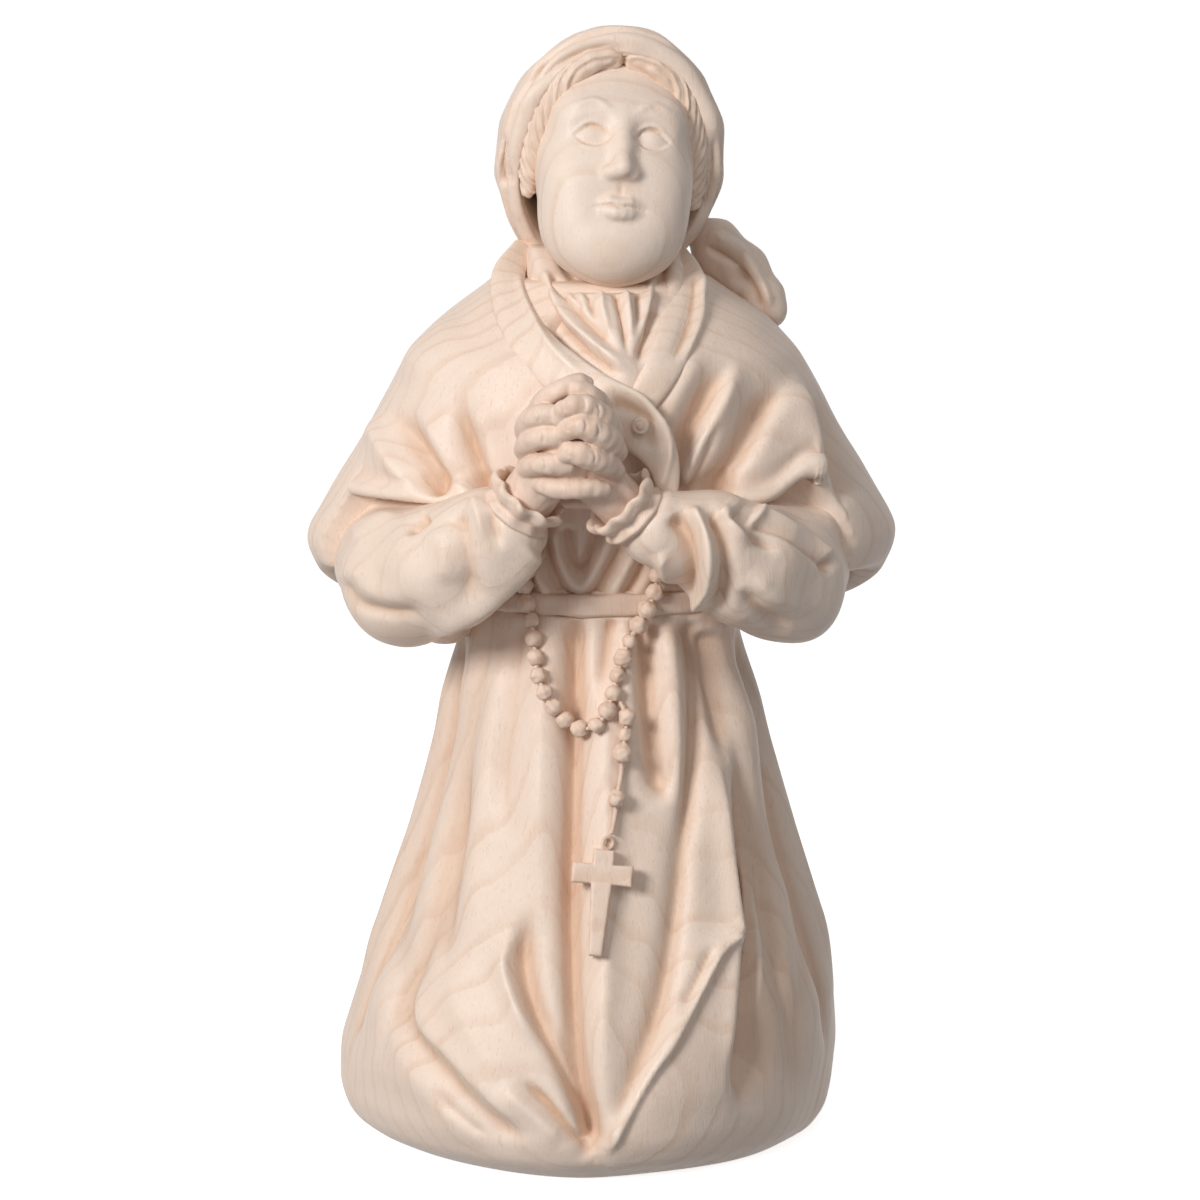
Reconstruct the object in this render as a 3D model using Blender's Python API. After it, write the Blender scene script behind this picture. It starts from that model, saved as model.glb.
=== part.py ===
"""Carved maple figure of a kneeling, praying woman, built up from separately carved pieces.

Run with: blender --background --python part.py
The tables below are in millimetres, in the figure's own frame: +X to the viewer's right, +Y to the back,
+Z up, with the spine on the Z axis. Left and right in names are the figure's own left and right.
"""

import math

import bmesh
import bpy
from mathutils import Euler, Matrix, Vector

MM = 0.001

# ---------------------------------------------------------------- driving dimensions
CLEARANCE = 0.3             # glue gap that every joint keeps

SKIRT_HEIGHT = 121.0
SKIRT_HALF_WIDTH = 55.5     # at the fullest part of the hem
SKIRT_FRONT = 51.0          # hem, from the spine forwards
SKIRT_BACK = 72.0           # hem, from the spine backwards
HANDS_REACH = 56.4          # foremost knuckle, from the spine forwards
GLUE_LINES = (-8.0, 34.0)   # where the three skirt boards meet, front to back

WAISTBAND_HEIGHT = 3.9
WAISTBAND_PROUD = 1.2       # how far it stands out of the waist
BODICE_HEIGHT = 57.5
CAPE_HALF_WIDTH = 65.2      # at the elbows
CAPE_GLUE_LINE = 4.0        # where the two cape boards meet
CAPE_DROP = 8.0             # how far the cape's back hem hangs below the chest line
CAPE_FRONT_HEM = 20.0       # height of its front hem above the chest line
CAPE_FRONT = -3.0           # the hem is at the front's height before this y
NECKLINE_DEPTH = 52.0       # how low the collar opens, above the chest line

HEAD_HALF_WIDTH = 19.5
HEAD_TILT = Euler((math.radians(-20), math.radians(5), math.radians(6)), "XYZ")
NECK_RADIUS = 10.5

WRIST_RADIUS = 5.0
CUFF_RADIUS = 8.8
CUFF_LENGTH = 4.4
SLEEVE_RADIUS = 13.6        # at its fullest, near the elbow
LAPEL_HALF_WIDTH = 5.2
LAPEL_HALF_THICKNESS = 1.5
BUTTON_RADIUS = 1.9
BUTTON_HEIGHT = 1.2

WAIST_DOWEL_RADIUS = 4.0
NECK_DOWEL_RADIUS = 4.0
ARM_DOWEL_RADIUS = 3.0
TAIL_DOWEL_RADIUS = 1.5

BEAD_RADIUS = 1.8
BEAD_PITCH = 3.95
BEAD_LENGTH = 0.75 * BEAD_PITCH     # leaves a little cord bare between the beads
BEAD_BORE = 0.95
CORD_RADIUS = 0.45
CROSS_HEIGHT = 22.8
CROSS_WIDTH = 13.4
CROSS_BAR = 4.4
CROSS_THICKNESS = 3.0
CROSS_TURN = math.radians(4)    # how far it hangs out of upright

# ---------------------------------------------------------------- places that follow from them
BASE_SHIFT = (HANDS_REACH - SKIRT_BACK) / 2     # puts the origin midway between front and back
BELT_BOTTOM = SKIRT_HEIGHT + CLEARANCE
BELT_TOP = BELT_BOTTOM + WAISTBAND_HEIGHT
CHEST = BELT_TOP + CLEARANCE
NECK_BASE = CHEST + BODICE_HEIGHT
HEAD_CENTRE = Vector((2.0, 3.0, NECK_BASE + 36.5))
HANDS = Vector((-7.8, 13.4 - HANDS_REACH, CHEST + 40.0))
BUTTON = Vector((8.6, -35.0, CHEST + 39.0))

# Cross-sections, bottom to top: (height as a share of the piece, side shift, widest line's y,
# half width as a share of the fullest, front y and back y as shares of the deepest).
SKIRT_SECTIONS = (
    (0.00, -1.0, 9.0, 0.83, 0.90, 0.92),
    (0.03, -2.0, 9.0, 0.92, 0.97, 0.97),
    (0.08, -2.5, 9.0, 0.98, 1.00, 1.00),
    (0.16, -2.0, 9.0, 1.00, 0.99, 0.96),
    (0.27, -1.0, 8.0, 0.965, 0.92, 0.83),
    (0.40, 0.0, 6.0, 0.90, 0.82, 0.69),
    (0.57, 0.0, 4.0, 0.79, 0.71, 0.58),
    (0.75, 0.0, 3.0, 0.68, 0.60, 0.50),
    (0.90, -0.5, 2.0, 0.60, 0.51, 0.43),
    (1.00, 0.0, 1.0, 0.53, 0.45, 0.35),
)
# The upper pieces give their sizes outright: (height above the chest line, side shift, widest line's y,
# half width, front y, back y).
BODICE_SECTIONS = (
    (0.0, 0.0, 1.0, 29.0, -23.0, 24.0),
    (14.5, 0.0, 1.0, 31.0, -25.0, 25.0),
    (29.5, 0.0, 1.0, 32.0, -26.0, 25.5),
    (42.5, 0.0, 1.0, 29.0, -24.0, 24.0),
    (BODICE_HEIGHT - 5.0, 0.0, 2.0, 19.0, -18.0, 19.0),
    (BODICE_HEIGHT, 0.0, 2.5, 12.0, -12.0, 15.0),
)
CAPE_SECTIONS = (
    (-CAPE_DROP, 0.0, 8.0, 0.86, -22.0, 34.0),
    (-1.0, 0.0, 7.0, 0.95, -27.0, 36.0),
    (7.0, 0.0, 6.0, 1.00, -29.0, 37.0),
    (15.0, 0.3, 5.0, 0.985, -30.5, 36.5),
    (31.0, 0.7, 3.0, 0.885, -31.5, 34.0),
    (44.0, 0.8, 2.0, 0.775, -30.0, 31.0),
    (54.0, 0.8, 2.0, 0.66, -26.5, 28.0),
    (60.5, 0.8, 3.0, 0.53, -21.5, 25.0),
    (67.0, 0.0, 4.0, 0.40, -15.0, 21.0),
)
NECKERCHIEF_SECTIONS = (
    (47.5, 5.0, 0.0, 13.0, -32.0, 13.0),
    (52.0, 4.0, 0.0, 18.0, -30.5, 15.0),
    (60.0, 1.5, 1.0, 18.5, -25.0, 16.0),
    (68.0, 1.0, 2.0, 16.5, -20.0, 17.0),
    (73.0, 0.5, 3.0, 14.0, -15.0, 17.0),
)
# The skull and jaw, in the head's own frame, chin to crown.
SKULL_SECTIONS = (
    (-28.0, 0.0, -14.0, 0.30, -20.0, -7.0),
    (-24.5, 0.0, -10.0, 0.56, -22.0, 4.0),
    (-17.0, 0.0, -3.0, 0.82, -22.5, 13.0),
    (-6.0, 0.0, 2.0, 0.97, -22.0, 21.0),
    (6.0, 0.0, 4.0, 1.00, -22.0, 25.0),
    (17.0, 0.0, 4.0, 0.91, -20.0, 24.0),
    (24.0, 0.0, 4.0, 0.68, -12.5, 19.0),
    (27.5, 0.0, 4.0, 0.30, -2.0, 10.0),
)
HAIR_ROUTE = (
    (-19.5, 0.0, -8.0, 2.2),
    (-19.5, -7.0, 1.0, 3.0),
    (-16.0, -14.0, 11.0, 3.4),
    (-8.5, -17.5, 18.5, 3.4),
    (0.0, -18.5, 21.0, 2.8),
    (8.5, -17.5, 18.5, 3.4),
    (16.0, -14.0, 11.0, 3.4),
    (19.5, -7.0, 1.0, 3.0),
    (19.5, 0.0, -8.0, 2.2),
)
NOSE_ROUTE = (
    (0.0, -20.5, 4.0, 1.2, 1.4),
    (0.0, -22.5, -2.0, 1.8, 2.6),
    (0.0, -22.8, -5.5, 3.0, 3.2),
    (0.0, -21.5, -7.5, 2.2, 2.0),
)
EAR_ROUTE = ((18.6, 1.0, 4.5, 1.6, 2.0), (20.2, 1.0, 0.5, 2.6, 3.2), (19.0, 0.0, -7.0, 1.4, 1.8))
KERCHIEF_OPENING = math.radians(34)     # how far its open face leans forward over the brow
KERCHIEF_SECTIONS = (
    (-21.0, 0.0, 10.0, 0.72, -3.0, 21.0),
    (-13.0, 0.0, 9.0, 1.06, -11.0, 28.0),
    (-3.0, 0.0, 8.0, 1.29, -19.0, 31.5),
    (8.0, 0.0, 6.0, 1.34, -23.5, 32.0),
    (18.0, 0.0, 5.0, 1.20, -22.5, 29.5),
    (26.5, 0.0, 4.0, 0.82, -14.5, 22.0),
    (31.5, 0.0, 4.0, 0.32, -4.0, 11.0),
)

# Routes, as (x, y, height above the chest line, width radius, thickness radius).
SLEEVE_ROUTE = (
    (51.0, 5.0, 9.0, 0.60, 0.60),
    (48.0, -6.0, 5.0, 0.92, 0.92),
    (40.5, -18.0, 4.0, 1.00, 1.00),
    (31.5, -28.0, 8.0, 0.92, 0.92),
    (23.5, -34.0, 15.0, 0.74, 0.74),
)
RIGHT_WRIST = (Vector((-17.5, -37.5, CHEST + 21.0)), Vector((-9.0, -41.5, CHEST + 33.0)))
LEFT_WRIST = (Vector((7.0, -37.5, CHEST + 20.0)), Vector((-5.5, -41.5, CHEST + 33.0)))
RIGHT_LAPEL_ROUTE = (
    (-17.0, 3.0, 73.0, 0.5, 1.0),
    (-20.5, -8.0, 67.0, 0.85, 1.0),
    (-15.5, -22.0, 56.0, 1.0, 1.0),
    (-4.0, -30.5, 47.0, 1.0, 1.0),
    (7.5, -33.0, 39.5, 0.9, 1.0),
    (13.0, -33.0, 33.0, 0.65, 1.0),
    (15.0, -32.5, 26.5, 0.4, 1.0),
)
LEFT_LAPEL_ROUTE = (
    (16.5, 4.0, 72.0, 0.5, 1.0),
    (19.0, -8.0, 66.0, 0.9, 1.0),
    (17.0, -19.5, 58.0, 1.0, 1.0),
    (13.0, -28.0, 49.0, 0.7, 1.0),
)
TAIL_ROUTE = (
    (20.5, 15.0, 75.5, 3.4, 2.8),
    (25.0, 15.5, 74.0, 6.0, 4.2),
    (31.0, 15.0, 68.0, 8.6, 4.6),
    (37.0, 13.5, 60.5, 7.0, 3.8),
    (39.5, 12.5, 57.0, 3.5, 2.0),
)
# The strand of beads, as (x, height above or below the waistband's top); it lies on the front of the skirt.
STRAND = (
    (-12.5, 10.6), (-15.0, 7.4), (-16.4, 3.6), (-16.0, -1.0), (-14.8, -5.8), (-14.2, -10.6),
    (-13.8, -14.2), (-12.9, -18.2), (-11.0, -21.8), (-8.6, -25.0), (-5.4, -27.6), (-1.8, -27.4),
    (0.8, -24.8), (2.4, -21.4), (3.4, -17.6), (4.8, -13.2), (6.6, -8.8), (9.2, -4.4), (11.4, 0.0),
    (12.4, 4.0), (11.4, 8.2), (9.4, 11.6),
)
PENDANT = ((5.6, -21.2), (5.8, -25.4), (5.3, -29.4), (4.6, -35.0), (3.7, -41.2), (3.1, -46.5), (2.6, -50.0))
PENDANT_BEADS = (0.14, 0.28, 0.42, 0.72)    # as shares of the pendant's length
CROSS_CENTRE = (0.4, -58.5)

# Fingers: (knuckle, middle joint, tip) from the middle of the clasp; x grows to the viewer's right.
FINGER_PITCH = 5.4
FINGER_RADII = (2.5, 2.45, 2.0)

WOOD_COLOURS = {
    "skirt": (0.80, 0.63, 0.49),
    "waistband": (0.79, 0.61, 0.47),
    "bodice": (0.78, 0.59, 0.45),
    "cape": (0.81, 0.64, 0.50),
    "lapel": (0.82, 0.65, 0.51),
    "neckerchief": (0.82, 0.66, 0.53),
    "sleeve": (0.82, 0.66, 0.52),
    "cuff": (0.79, 0.62, 0.48),
    "hands": (0.78, 0.59, 0.45),
    "head": (0.83, 0.68, 0.55),
    "kerchief": (0.81, 0.65, 0.51),
    "button": (0.80, 0.63, 0.49),
    "rosary": (0.78, 0.60, 0.46),
    "cross": (0.79, 0.62, 0.48),
    "dowel": (0.62, 0.42, 0.27),
}


# ---------------------------------------------------------------- mesh building
def new_object(name, verts, faces):
    mesh = bpy.data.meshes.new(name)
    mesh.from_pydata([Vector(v) * MM for v in verts], [], faces)
    skin = bmesh.new()
    skin.from_mesh(mesh)
    bmesh.ops.triangulate(skin, faces=skin.faces)
    skin.to_mesh(mesh)
    skin.free()
    mesh.shade_smooth()
    mesh.set_sharp_from_angle(angle=math.radians(50))
    obj = bpy.data.objects.new(name, mesh)
    bpy.context.scene.collection.objects.link(obj)
    obj.parent = figure
    return obj


def closed_tube(rings):
    """Faces that join rings of equal length, with a flat cap at each end."""
    count = len(rings[0])
    faces = [tuple(reversed(range(count)))]
    for k in range(len(rings) - 1):
        low, high = k * count, (k + 1) * count
        for i in range(count):
            j = (i + 1) % count
            faces.append((low + i, low + j, high + j, high + i))
    faces.append(tuple(range((len(rings) - 1) * count, len(rings) * count)))
    return [p for ring in rings for p in ring], faces


def oval(z, shift, middle, half_width, front, back, grow, segments):
    """A ring that is half_width wide at y = middle, and reaches from front to back."""
    ring = []
    for i in range(segments):
        angle = 2 * math.pi * i / segments
        depth = (back - middle if math.sin(angle) > 0 else middle - front) + grow
        ring.append(Vector((
            shift + (half_width + grow) * math.cos(angle),
            middle + depth * math.sin(angle),
            z,
        )))
    return ring


def loft(sections, grow=0.0, segments=28):
    """Skins oval sections given bottom to top; the ends move out by grow as well."""
    rings = []
    for k, (z, *section) in enumerate(sections):
        end = grow * ((k == len(sections) - 1) - (k == 0))
        rings.append(oval(z + end, *section, grow, segments))
    return closed_tube(rings)


def limb(stations, grow=0.0, segments=12, flat_towards=Vector((0, -1, 0))):
    """Skins elliptical stations (x, y, z, width radius, thickness radius) along their own line."""
    points = [Vector(s[:3]) for s in stations]
    rings = []
    for k, station in enumerate(stations):
        along = (points[min(k + 1, len(points) - 1)] - points[max(k - 1, 0)]).normalized()
        thick = (flat_towards - along * flat_towards.dot(along)).normalized()
        wide = thick.cross(along)
        centre = points[k] + along * grow * ((k == len(points) - 1) - (k == 0))
        ring = []
        for i in range(segments):
            angle = 2 * math.pi * i / segments
            ring.append(
                centre
                + wide * (station[3] + grow) * math.cos(angle)
                + thick * (station[4] + grow) * math.sin(angle)
            )
        rings.append(ring)
    return closed_tube(rings)


def rounded_bar(points, radii, grow=0.0, segments=8):
    """A bar through the points with a dome at each end, which fingers and palms are made of."""
    points = [Vector(p) for p in points]
    first = (points[0] - points[1]).normalized() * radii[0]
    last = (points[-1] - points[-2]).normalized() * radii[-1]
    dome = ((0.92, 0.40), (0.55, 0.84))
    stations = [(*(points[0] + first * t), radii[0] * r, radii[0] * r) for t, r in dome]
    stations += [(*point, radius, radius) for point, radius in zip(points, radii)]
    stations += [(*(points[-1] + last * t), radii[-1] * r, radii[-1] * r) for t, r in reversed(dome)]
    side = Vector((0, 0, 1)) if abs(first.normalized().z) < 0.8 else Vector((0, -1, 0))
    return limb(stations, grow, segments, side)


def placed(shape, matrix):
    verts, faces = shape
    return [matrix @ Vector(v) for v in verts], faces


def mirrored(shape):
    """The same shape on the other side of the figure."""
    verts, faces = shape
    return [Vector((-v[0], v[1], v[2])) for v in verts], [tuple(reversed(f)) for f in faces]


# ---------------------------------------------------------------- booleans
def helper(name, shape):
    """A hidden shape that cuts or joins, and is no part of the figure."""
    obj = new_object(name, *shape)
    obj.hide_render = True
    obj.display_type = "WIRE"
    return obj


def boolean(obj, other, operation):
    modifier = obj.modifiers.new(f"{operation.lower()} {other.name}", "BOOLEAN")
    modifier.operation = operation
    modifier.solver = "EXACT"
    modifier.object = other


def cut(obj, *cutters):
    for other in cutters:
        boolean(obj, other, "DIFFERENCE")


def join(obj, *others):
    for other in others:
        boolean(obj, other, "UNION")


def box(low, high):
    corners = [(x, y, z) for z in (low[2], high[2]) for y in (low[1], high[1]) for x in (low[0], high[0])]
    faces = [(0, 2, 3, 1), (4, 5, 7, 6), (0, 1, 5, 4), (2, 6, 7, 3), (0, 4, 6, 2), (1, 3, 7, 5)]
    return corners, faces


# ---------------------------------------------------------------- the forms
def raised(sections):
    return [(z + CHEST, *rest) for z, *rest in sections]


def skirt_sections():
    return [
        (z * SKIRT_HEIGHT, shift, middle, width * SKIRT_HALF_WIDTH, -front * SKIRT_FRONT, back * SKIRT_BACK)
        for z, shift, middle, width, front, back in SKIRT_SECTIONS
    ]


def cape_sections():
    return raised([(z, s, m, width * CAPE_HALF_WIDTH, f, b) for z, s, m, width, f, b in CAPE_SECTIONS])


def head_sections(sections):
    return [(z, s, m, width * HEAD_HALF_WIDTH, f, b) for z, s, m, width, f, b in sections]


def head_frame():
    return Matrix.Translation(HEAD_CENTRE) @ HEAD_TILT.to_matrix().to_4x4()


def skull(grow=0.0):
    return placed(loft(head_sections(SKULL_SECTIONS), grow, 20), head_frame())


def hair(grow=0.0):
    stations = [(x, y, z, r, r) for x, y, z, r in HAIR_ROUTE]
    return placed(limb(stations, grow, 8, Vector((0, 1, 0.6))), head_frame())


def nose():
    return placed(limb(NOSE_ROUTE, 0.0, 8), head_frame())


def ear(side, grow=0.0):
    return placed(limb([(side * x, *rest) for x, *rest in EAR_ROUTE], grow, 8), head_frame())


def neck(grow=0.0):
    seat, top = NECK_BASE + CLEARANCE, HEAD_CENTRE.z - 12.0
    line = ((1.0, 2.5, seat), (1.0, 2.5, seat + 6.0), (1.5, 2.0, top))
    return limb([(*point, NECK_RADIUS, NECK_RADIUS) for point in line], grow, 16)


def sleeve(grow=0.0):
    stations = [(x, y, z + CHEST, w * SLEEVE_RADIUS, t * SLEEVE_RADIUS) for x, y, z, w, t in SLEEVE_ROUTE]
    return limb(stations, grow, 18, Vector((0, 0, 1)))


def wrist(ends, radius, grow=0.0):
    start, end = ends
    return limb([(*start, radius, radius), (*end, radius, radius)], grow, 12)


def sleeve_end(ends):
    """Where the cuff sits on the wrist, and the way the wrist leaves the sleeve."""
    start, end = ends
    along = (end - start).normalized()
    return start + along * 1.0, along


def cuff(ends, grow=0.0):
    centre, along = sleeve_end(ends)
    waves = ((-0.5, 0.86), (-0.15, 1.0), (0.2, 0.9), (0.5, 1.04))
    stations = [(*(centre + along * CUFF_LENGTH * t), CUFF_RADIUS * r, CUFF_RADIUS * r) for t, r in waves]
    return limb(stations, grow, 16)


def lapel(route, grow=0.0):
    stations = [
        (x, y, z + CHEST, w * LAPEL_HALF_WIDTH, t * LAPEL_HALF_THICKNESS) for x, y, z, w, t in route
    ]
    return limb(stations, grow, 10)


def tail(grow=0.0):
    return limb([(x, y, z + CHEST, w, t) for x, y, z, w, t in TAIL_ROUTE], grow, 12)


def dowel(start, end, radius, grow=0.0):
    return limb([(*start, radius, radius), (*end, radius, radius)], grow, 12, Vector((0, 1, 0.01)))


DOWELS = {
    "right_waist_dowel": ((-14.0, 3.0, SKIRT_HEIGHT - 20.0), (-14.0, 3.0, CHEST + 20.0), WAIST_DOWEL_RADIUS),
    "left_waist_dowel": ((14.0, 3.0, SKIRT_HEIGHT - 20.0), (14.0, 3.0, CHEST + 20.0), WAIST_DOWEL_RADIUS),
    "neck_dowel": ((1.0, 2.5, NECK_BASE - 16.0), (1.0, 2.5, NECK_BASE + 22.0), NECK_DOWEL_RADIUS),
    "right_arm_dowel": ((-47.0, -16.0, CHEST + 4.0), (-47.0, 15.0, CHEST + 9.0), ARM_DOWEL_RADIUS),
    "left_arm_dowel": ((47.0, -16.0, CHEST + 4.0), (47.0, 15.0, CHEST + 9.0), ARM_DOWEL_RADIUS),
    "tail_dowel": ((26.0, 15.5, CHEST + 73.0), (14.0, 14.0, CHEST + 78.0), TAIL_DOWEL_RADIUS),
}


# ---------------------------------------------------------------- the strand of beads
def skirt_front(x, z):
    """y of the skirt's or bodice's front at x, z, from the same sections that they are skinned on."""
    rows = skirt_sections() + raised(BODICE_SECTIONS)
    for low, high in zip(rows, rows[1:]):
        if z <= high[0]:
            break
    t = min(max((z - low[0]) / (high[0] - low[0]), 0.0), 1.0)
    _, shift, middle, half_width, front, _ = [a + (b - a) * t for a, b in zip(low, high)]
    across = min(abs(x - shift) / half_width, 0.99)
    over_the_band = BELT_BOTTOM - 2 * BEAD_RADIUS < z < BELT_TOP + 2 * BEAD_RADIUS
    return middle - (middle - front) * math.sqrt(1 - across * across) - over_the_band * WAISTBAND_PROUD


def on_the_front(points, stand_off):
    return [Vector((x, skirt_front(x, BELT_TOP + h) - stand_off, BELT_TOP + h)) for x, h in points]


def smooth_line(points, step):
    """Points step apart along a Catmull-Rom curve through the route's own points."""
    dense = []
    ends = [2 * points[0] - points[1], *points, 2 * points[-1] - points[-2]]
    for a, b, c, d in zip(ends, ends[1:], ends[2:], ends[3:]):
        for k in range(12):
            t = k / 12
            dense.append(0.5 * (
                2 * b + (c - a) * t + (2 * a - 5 * b + 4 * c - d) * t * t + (3 * b - a - 3 * c + d) * t ** 3
            ))
    dense.append(points[-1])
    line, walked = [dense[0]], 0.0
    for a, b in zip(dense, dense[1:]):
        length = (b - a).length
        while walked + length >= step:
            a = a.lerp(b, (step - walked) / length)
            line.append(a)
            length, walked = (b - a).length, 0.0
        walked += length
    return line


def direction_at(line, k):
    return (line[min(k + 1, len(line) - 1)] - line[max(k - 1, 0)]).normalized()


def bead(centre, along):
    """A turned bead with its bore along the cord."""
    shoulder = 0.75 * BEAD_RADIUS
    profile = ((BEAD_BORE, -0.5), (shoulder, -0.44), (BEAD_RADIUS, 0.0), (shoulder, 0.44), (BEAD_BORE, 0.5))
    segments = 8
    turn = along.to_track_quat("Z", "Y").to_matrix().to_4x4()
    frame = Matrix.Translation(centre) @ turn
    verts, faces = [], []
    for radius, t in profile:
        for i in range(segments):
            angle = 2 * math.pi * i / segments
            point = Vector((radius * math.cos(angle), radius * math.sin(angle), t * BEAD_LENGTH))
            verts.append(frame @ point)
    for k in range(len(profile)):
        below, above = k * segments, (k + 1) % len(profile) * segments
        for i in range(segments):
            j = (i + 1) % segments
            faces.append((below + i, below + j, above + j, above + i))
    return verts, faces


def cord(name, line):
    """A thin cord, as a curve with a round bevel and filled ends."""
    curve = bpy.data.curves.new(name, "CURVE")
    curve.dimensions = "3D"
    curve.bevel_depth = CORD_RADIUS * MM
    curve.bevel_resolution = 1
    curve.use_fill_caps = True
    spline = curve.splines.new("POLY")
    spline.points.add(len(line) - 1)
    for point, place in zip(spline.points, line):
        point.co = (*(place * MM), 1.0)
    curve.materials.append(woods["rosary"])
    obj = bpy.data.objects.new(name, curve)
    bpy.context.scene.collection.objects.link(obj)
    obj.parent = figure
    return obj


def cross():
    """A flat latin cross, drawn as an outline and given its thickness."""
    half, bar = CROSS_WIDTH / 2, CROSS_BAR / 2
    top, foot = CROSS_HEIGHT * 0.25, -CROSS_HEIGHT * 0.75
    outline = [
        (-bar, top), (-bar, bar), (-half, bar), (-half, -bar), (-bar, -bar), (-bar * 0.8, foot),
        (bar * 0.8, foot), (bar, -bar), (half, -bar), (half, bar), (bar, bar), (bar, top),
    ]
    count = len(outline)
    verts = [(x, 0.0, z) for x, z in outline] + [(x, -CROSS_THICKNESS, z) for x, z in outline]
    faces = [tuple(reversed(range(count))), tuple(range(count, 2 * count))]
    faces += [(i, (i + 1) % count, (i + 1) % count + count, i + count) for i in range(count)]
    x, height = CROSS_CENTRE
    place, below = on_the_front([(x, height), (x, height - CROSS_HEIGHT * 0.6)], CLEARANCE)
    lean = math.atan2(place.y - below.y, place.z - below.z)
    turn = Matrix.Rotation(-lean, 4, "X") @ Matrix.Rotation(CROSS_TURN, 4, "Y")
    return placed((verts, faces), Matrix.Translation(place) @ turn)


# ---------------------------------------------------------------- the hands
def finger_joints(side, row):
    """Knuckle, middle joint and tip of a finger; side is -1 for the right hand and 1 for the left."""
    lift = (1.5 - row - 0.25 * side) * FINGER_PITCH
    back = 0.28 * lift
    knuckle = HANDS + Vector((side * 8.2, -5.0 + back, lift))
    middle = HANDS + Vector((-side * 5.2, -8.4 + back, lift - 0.6 * side))
    tip = HANDS + Vector((-side * 10.2, 0.5 + back, lift - 1.0))
    return knuckle, middle, tip


def hand_pieces():
    """Every bar that the clasped hands are made of, wrists first."""
    bars = []
    for side, (_, top) in ((-1, RIGHT_WRIST), (1, LEFT_WRIST)):
        palm = HANDS + Vector((side * 4.6, 1.0, 0.0))
        bars.append(rounded_bar((top - Vector((0, 0, 5)), palm + Vector((0, -1, -6))), (5.6, 5.7)))
        bars.append(rounded_bar((palm + Vector((0, -1, -7)), palm + Vector((0, 1.5, 7))), (5.9, 5.2)))
        for row in range(4):
            bars.append(rounded_bar(finger_joints(side, row), FINGER_RADII))
        base = palm + Vector((0, 3.0, 5.0))
        bars.append(rounded_bar((base, HANDS + Vector((-side * 1.6, -1.5 - side, 12.0))), (2.6, 2.1)))
    return bars


# ---------------------------------------------------------------- the figure
def material(name, colour, roughness):
    made = bpy.data.materials.new(name)
    made.use_nodes = True
    shader = made.node_tree.nodes["Principled BSDF"]
    shader.inputs["Base Color"].default_value = (*colour, 1.0)
    shader.inputs["Roughness"].default_value = roughness
    shader.inputs["Metallic"].default_value = 0.0
    return made


def node(name, shape, wood, *cutters):
    obj = new_object(name, *shape)
    obj.data.materials.append(wood)
    cut(obj, *cutters)
    return obj


def slab(name, front, back):
    """Keeps what lies between two planes across the figure."""
    reach = 200.0
    return helper(name, box((-reach, front, -reach), (reach, back, 2 * reach)))


for old in list(bpy.data.objects):
    bpy.data.objects.remove(old)

figure = bpy.data.objects.new("figure", None)
figure.location = (0, BASE_SHIFT * MM, 0)
bpy.context.scene.collection.objects.link(figure)

woods = {name: material(f"{name}_wood", colour, 0.55) for name, colour in WOOD_COLOURS.items()}

# Dowels, and the bores that they go in.
bores = {}
for name, (start, end, radius) in DOWELS.items():
    node(name, dowel(start, end, radius), woods["dowel"])
    bores[name] = helper(f"{name}_bore", dowel(start, end, radius, CLEARANCE))

# Helpers that let one piece into its neighbours with a glue gap.
skull_room = helper("skull_room", skull(CLEARANCE))
hair_room = helper("hair_room", hair(CLEARANCE))
neck_room = helper("neck_room", neck(CLEARANCE))
bodice_room = helper("bodice_room", loft(raised(BODICE_SECTIONS), CLEARANCE))
skirt_room = helper("skirt_room", loft(skirt_sections(), CLEARANCE))
cape_room = helper("cape_room", loft(cape_sections(), CLEARANCE))
neckerchief_room = helper("neckerchief_room", loft(raised(NECKERCHIEF_SECTIONS), CLEARANCE, 24))
left_sleeve_room = helper("left_sleeve_room", sleeve(CLEARANCE))
right_sleeve_room = helper("right_sleeve_room", mirrored(sleeve(CLEARANCE)))
wrist_rooms = [
    helper(f"{side}_wrist_room", wrist(ends, WRIST_RADIUS, CLEARANCE))
    for side, ends in (("right", RIGHT_WRIST), ("left", LEFT_WRIST))
]
cuff_rooms = [
    helper(f"{side}_cuff_room", cuff(ends, CLEARANCE))
    for side, ends in (("right", RIGHT_WRIST), ("left", LEFT_WRIST))
]
right_lapel_room = helper("right_lapel_room", lapel(RIGHT_LAPEL_ROUTE, CLEARANCE))
left_lapel_room = helper("left_lapel_room", lapel(LEFT_LAPEL_ROUTE, CLEARANCE))
tail_room = helper("tail_room", tail(CLEARANCE))

# The skirt, from three boards glued face to face.
waist_bores = [bores["right_waist_dowel"], bores["left_waist_dowel"]]
half_gap = CLEARANCE / 2
front_line, back_line = GLUE_LINES
SKIRT_BOARDS = {
    "skirt_front_board": (-200.0, front_line - half_gap),
    "skirt_middle_board": (front_line + half_gap, back_line - half_gap),
    "skirt_back_board": (back_line + half_gap, 200.0),
}
for name, (front, back) in SKIRT_BOARDS.items():
    board = node(name, loft(skirt_sections()), woods["skirt"])
    boolean(board, slab(f"{name}_slab", front, back), "INTERSECT")
    if name == "skirt_middle_board":
        cut(board, *waist_bores)

# The waistband, a slab that the bodice stands on.
_, waist_shift, waist_middle, waist_half_width, waist_front, waist_back = skirt_sections()[-1]
band = [
    (
        z, waist_shift, waist_middle, waist_half_width + WAISTBAND_PROUD,
        waist_front - WAISTBAND_PROUD, waist_back + WAISTBAND_PROUD,
    )
    for z in (BELT_BOTTOM, BELT_TOP)
]
node("waistband", loft(band), woods["waistband"], *waist_bores)

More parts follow.
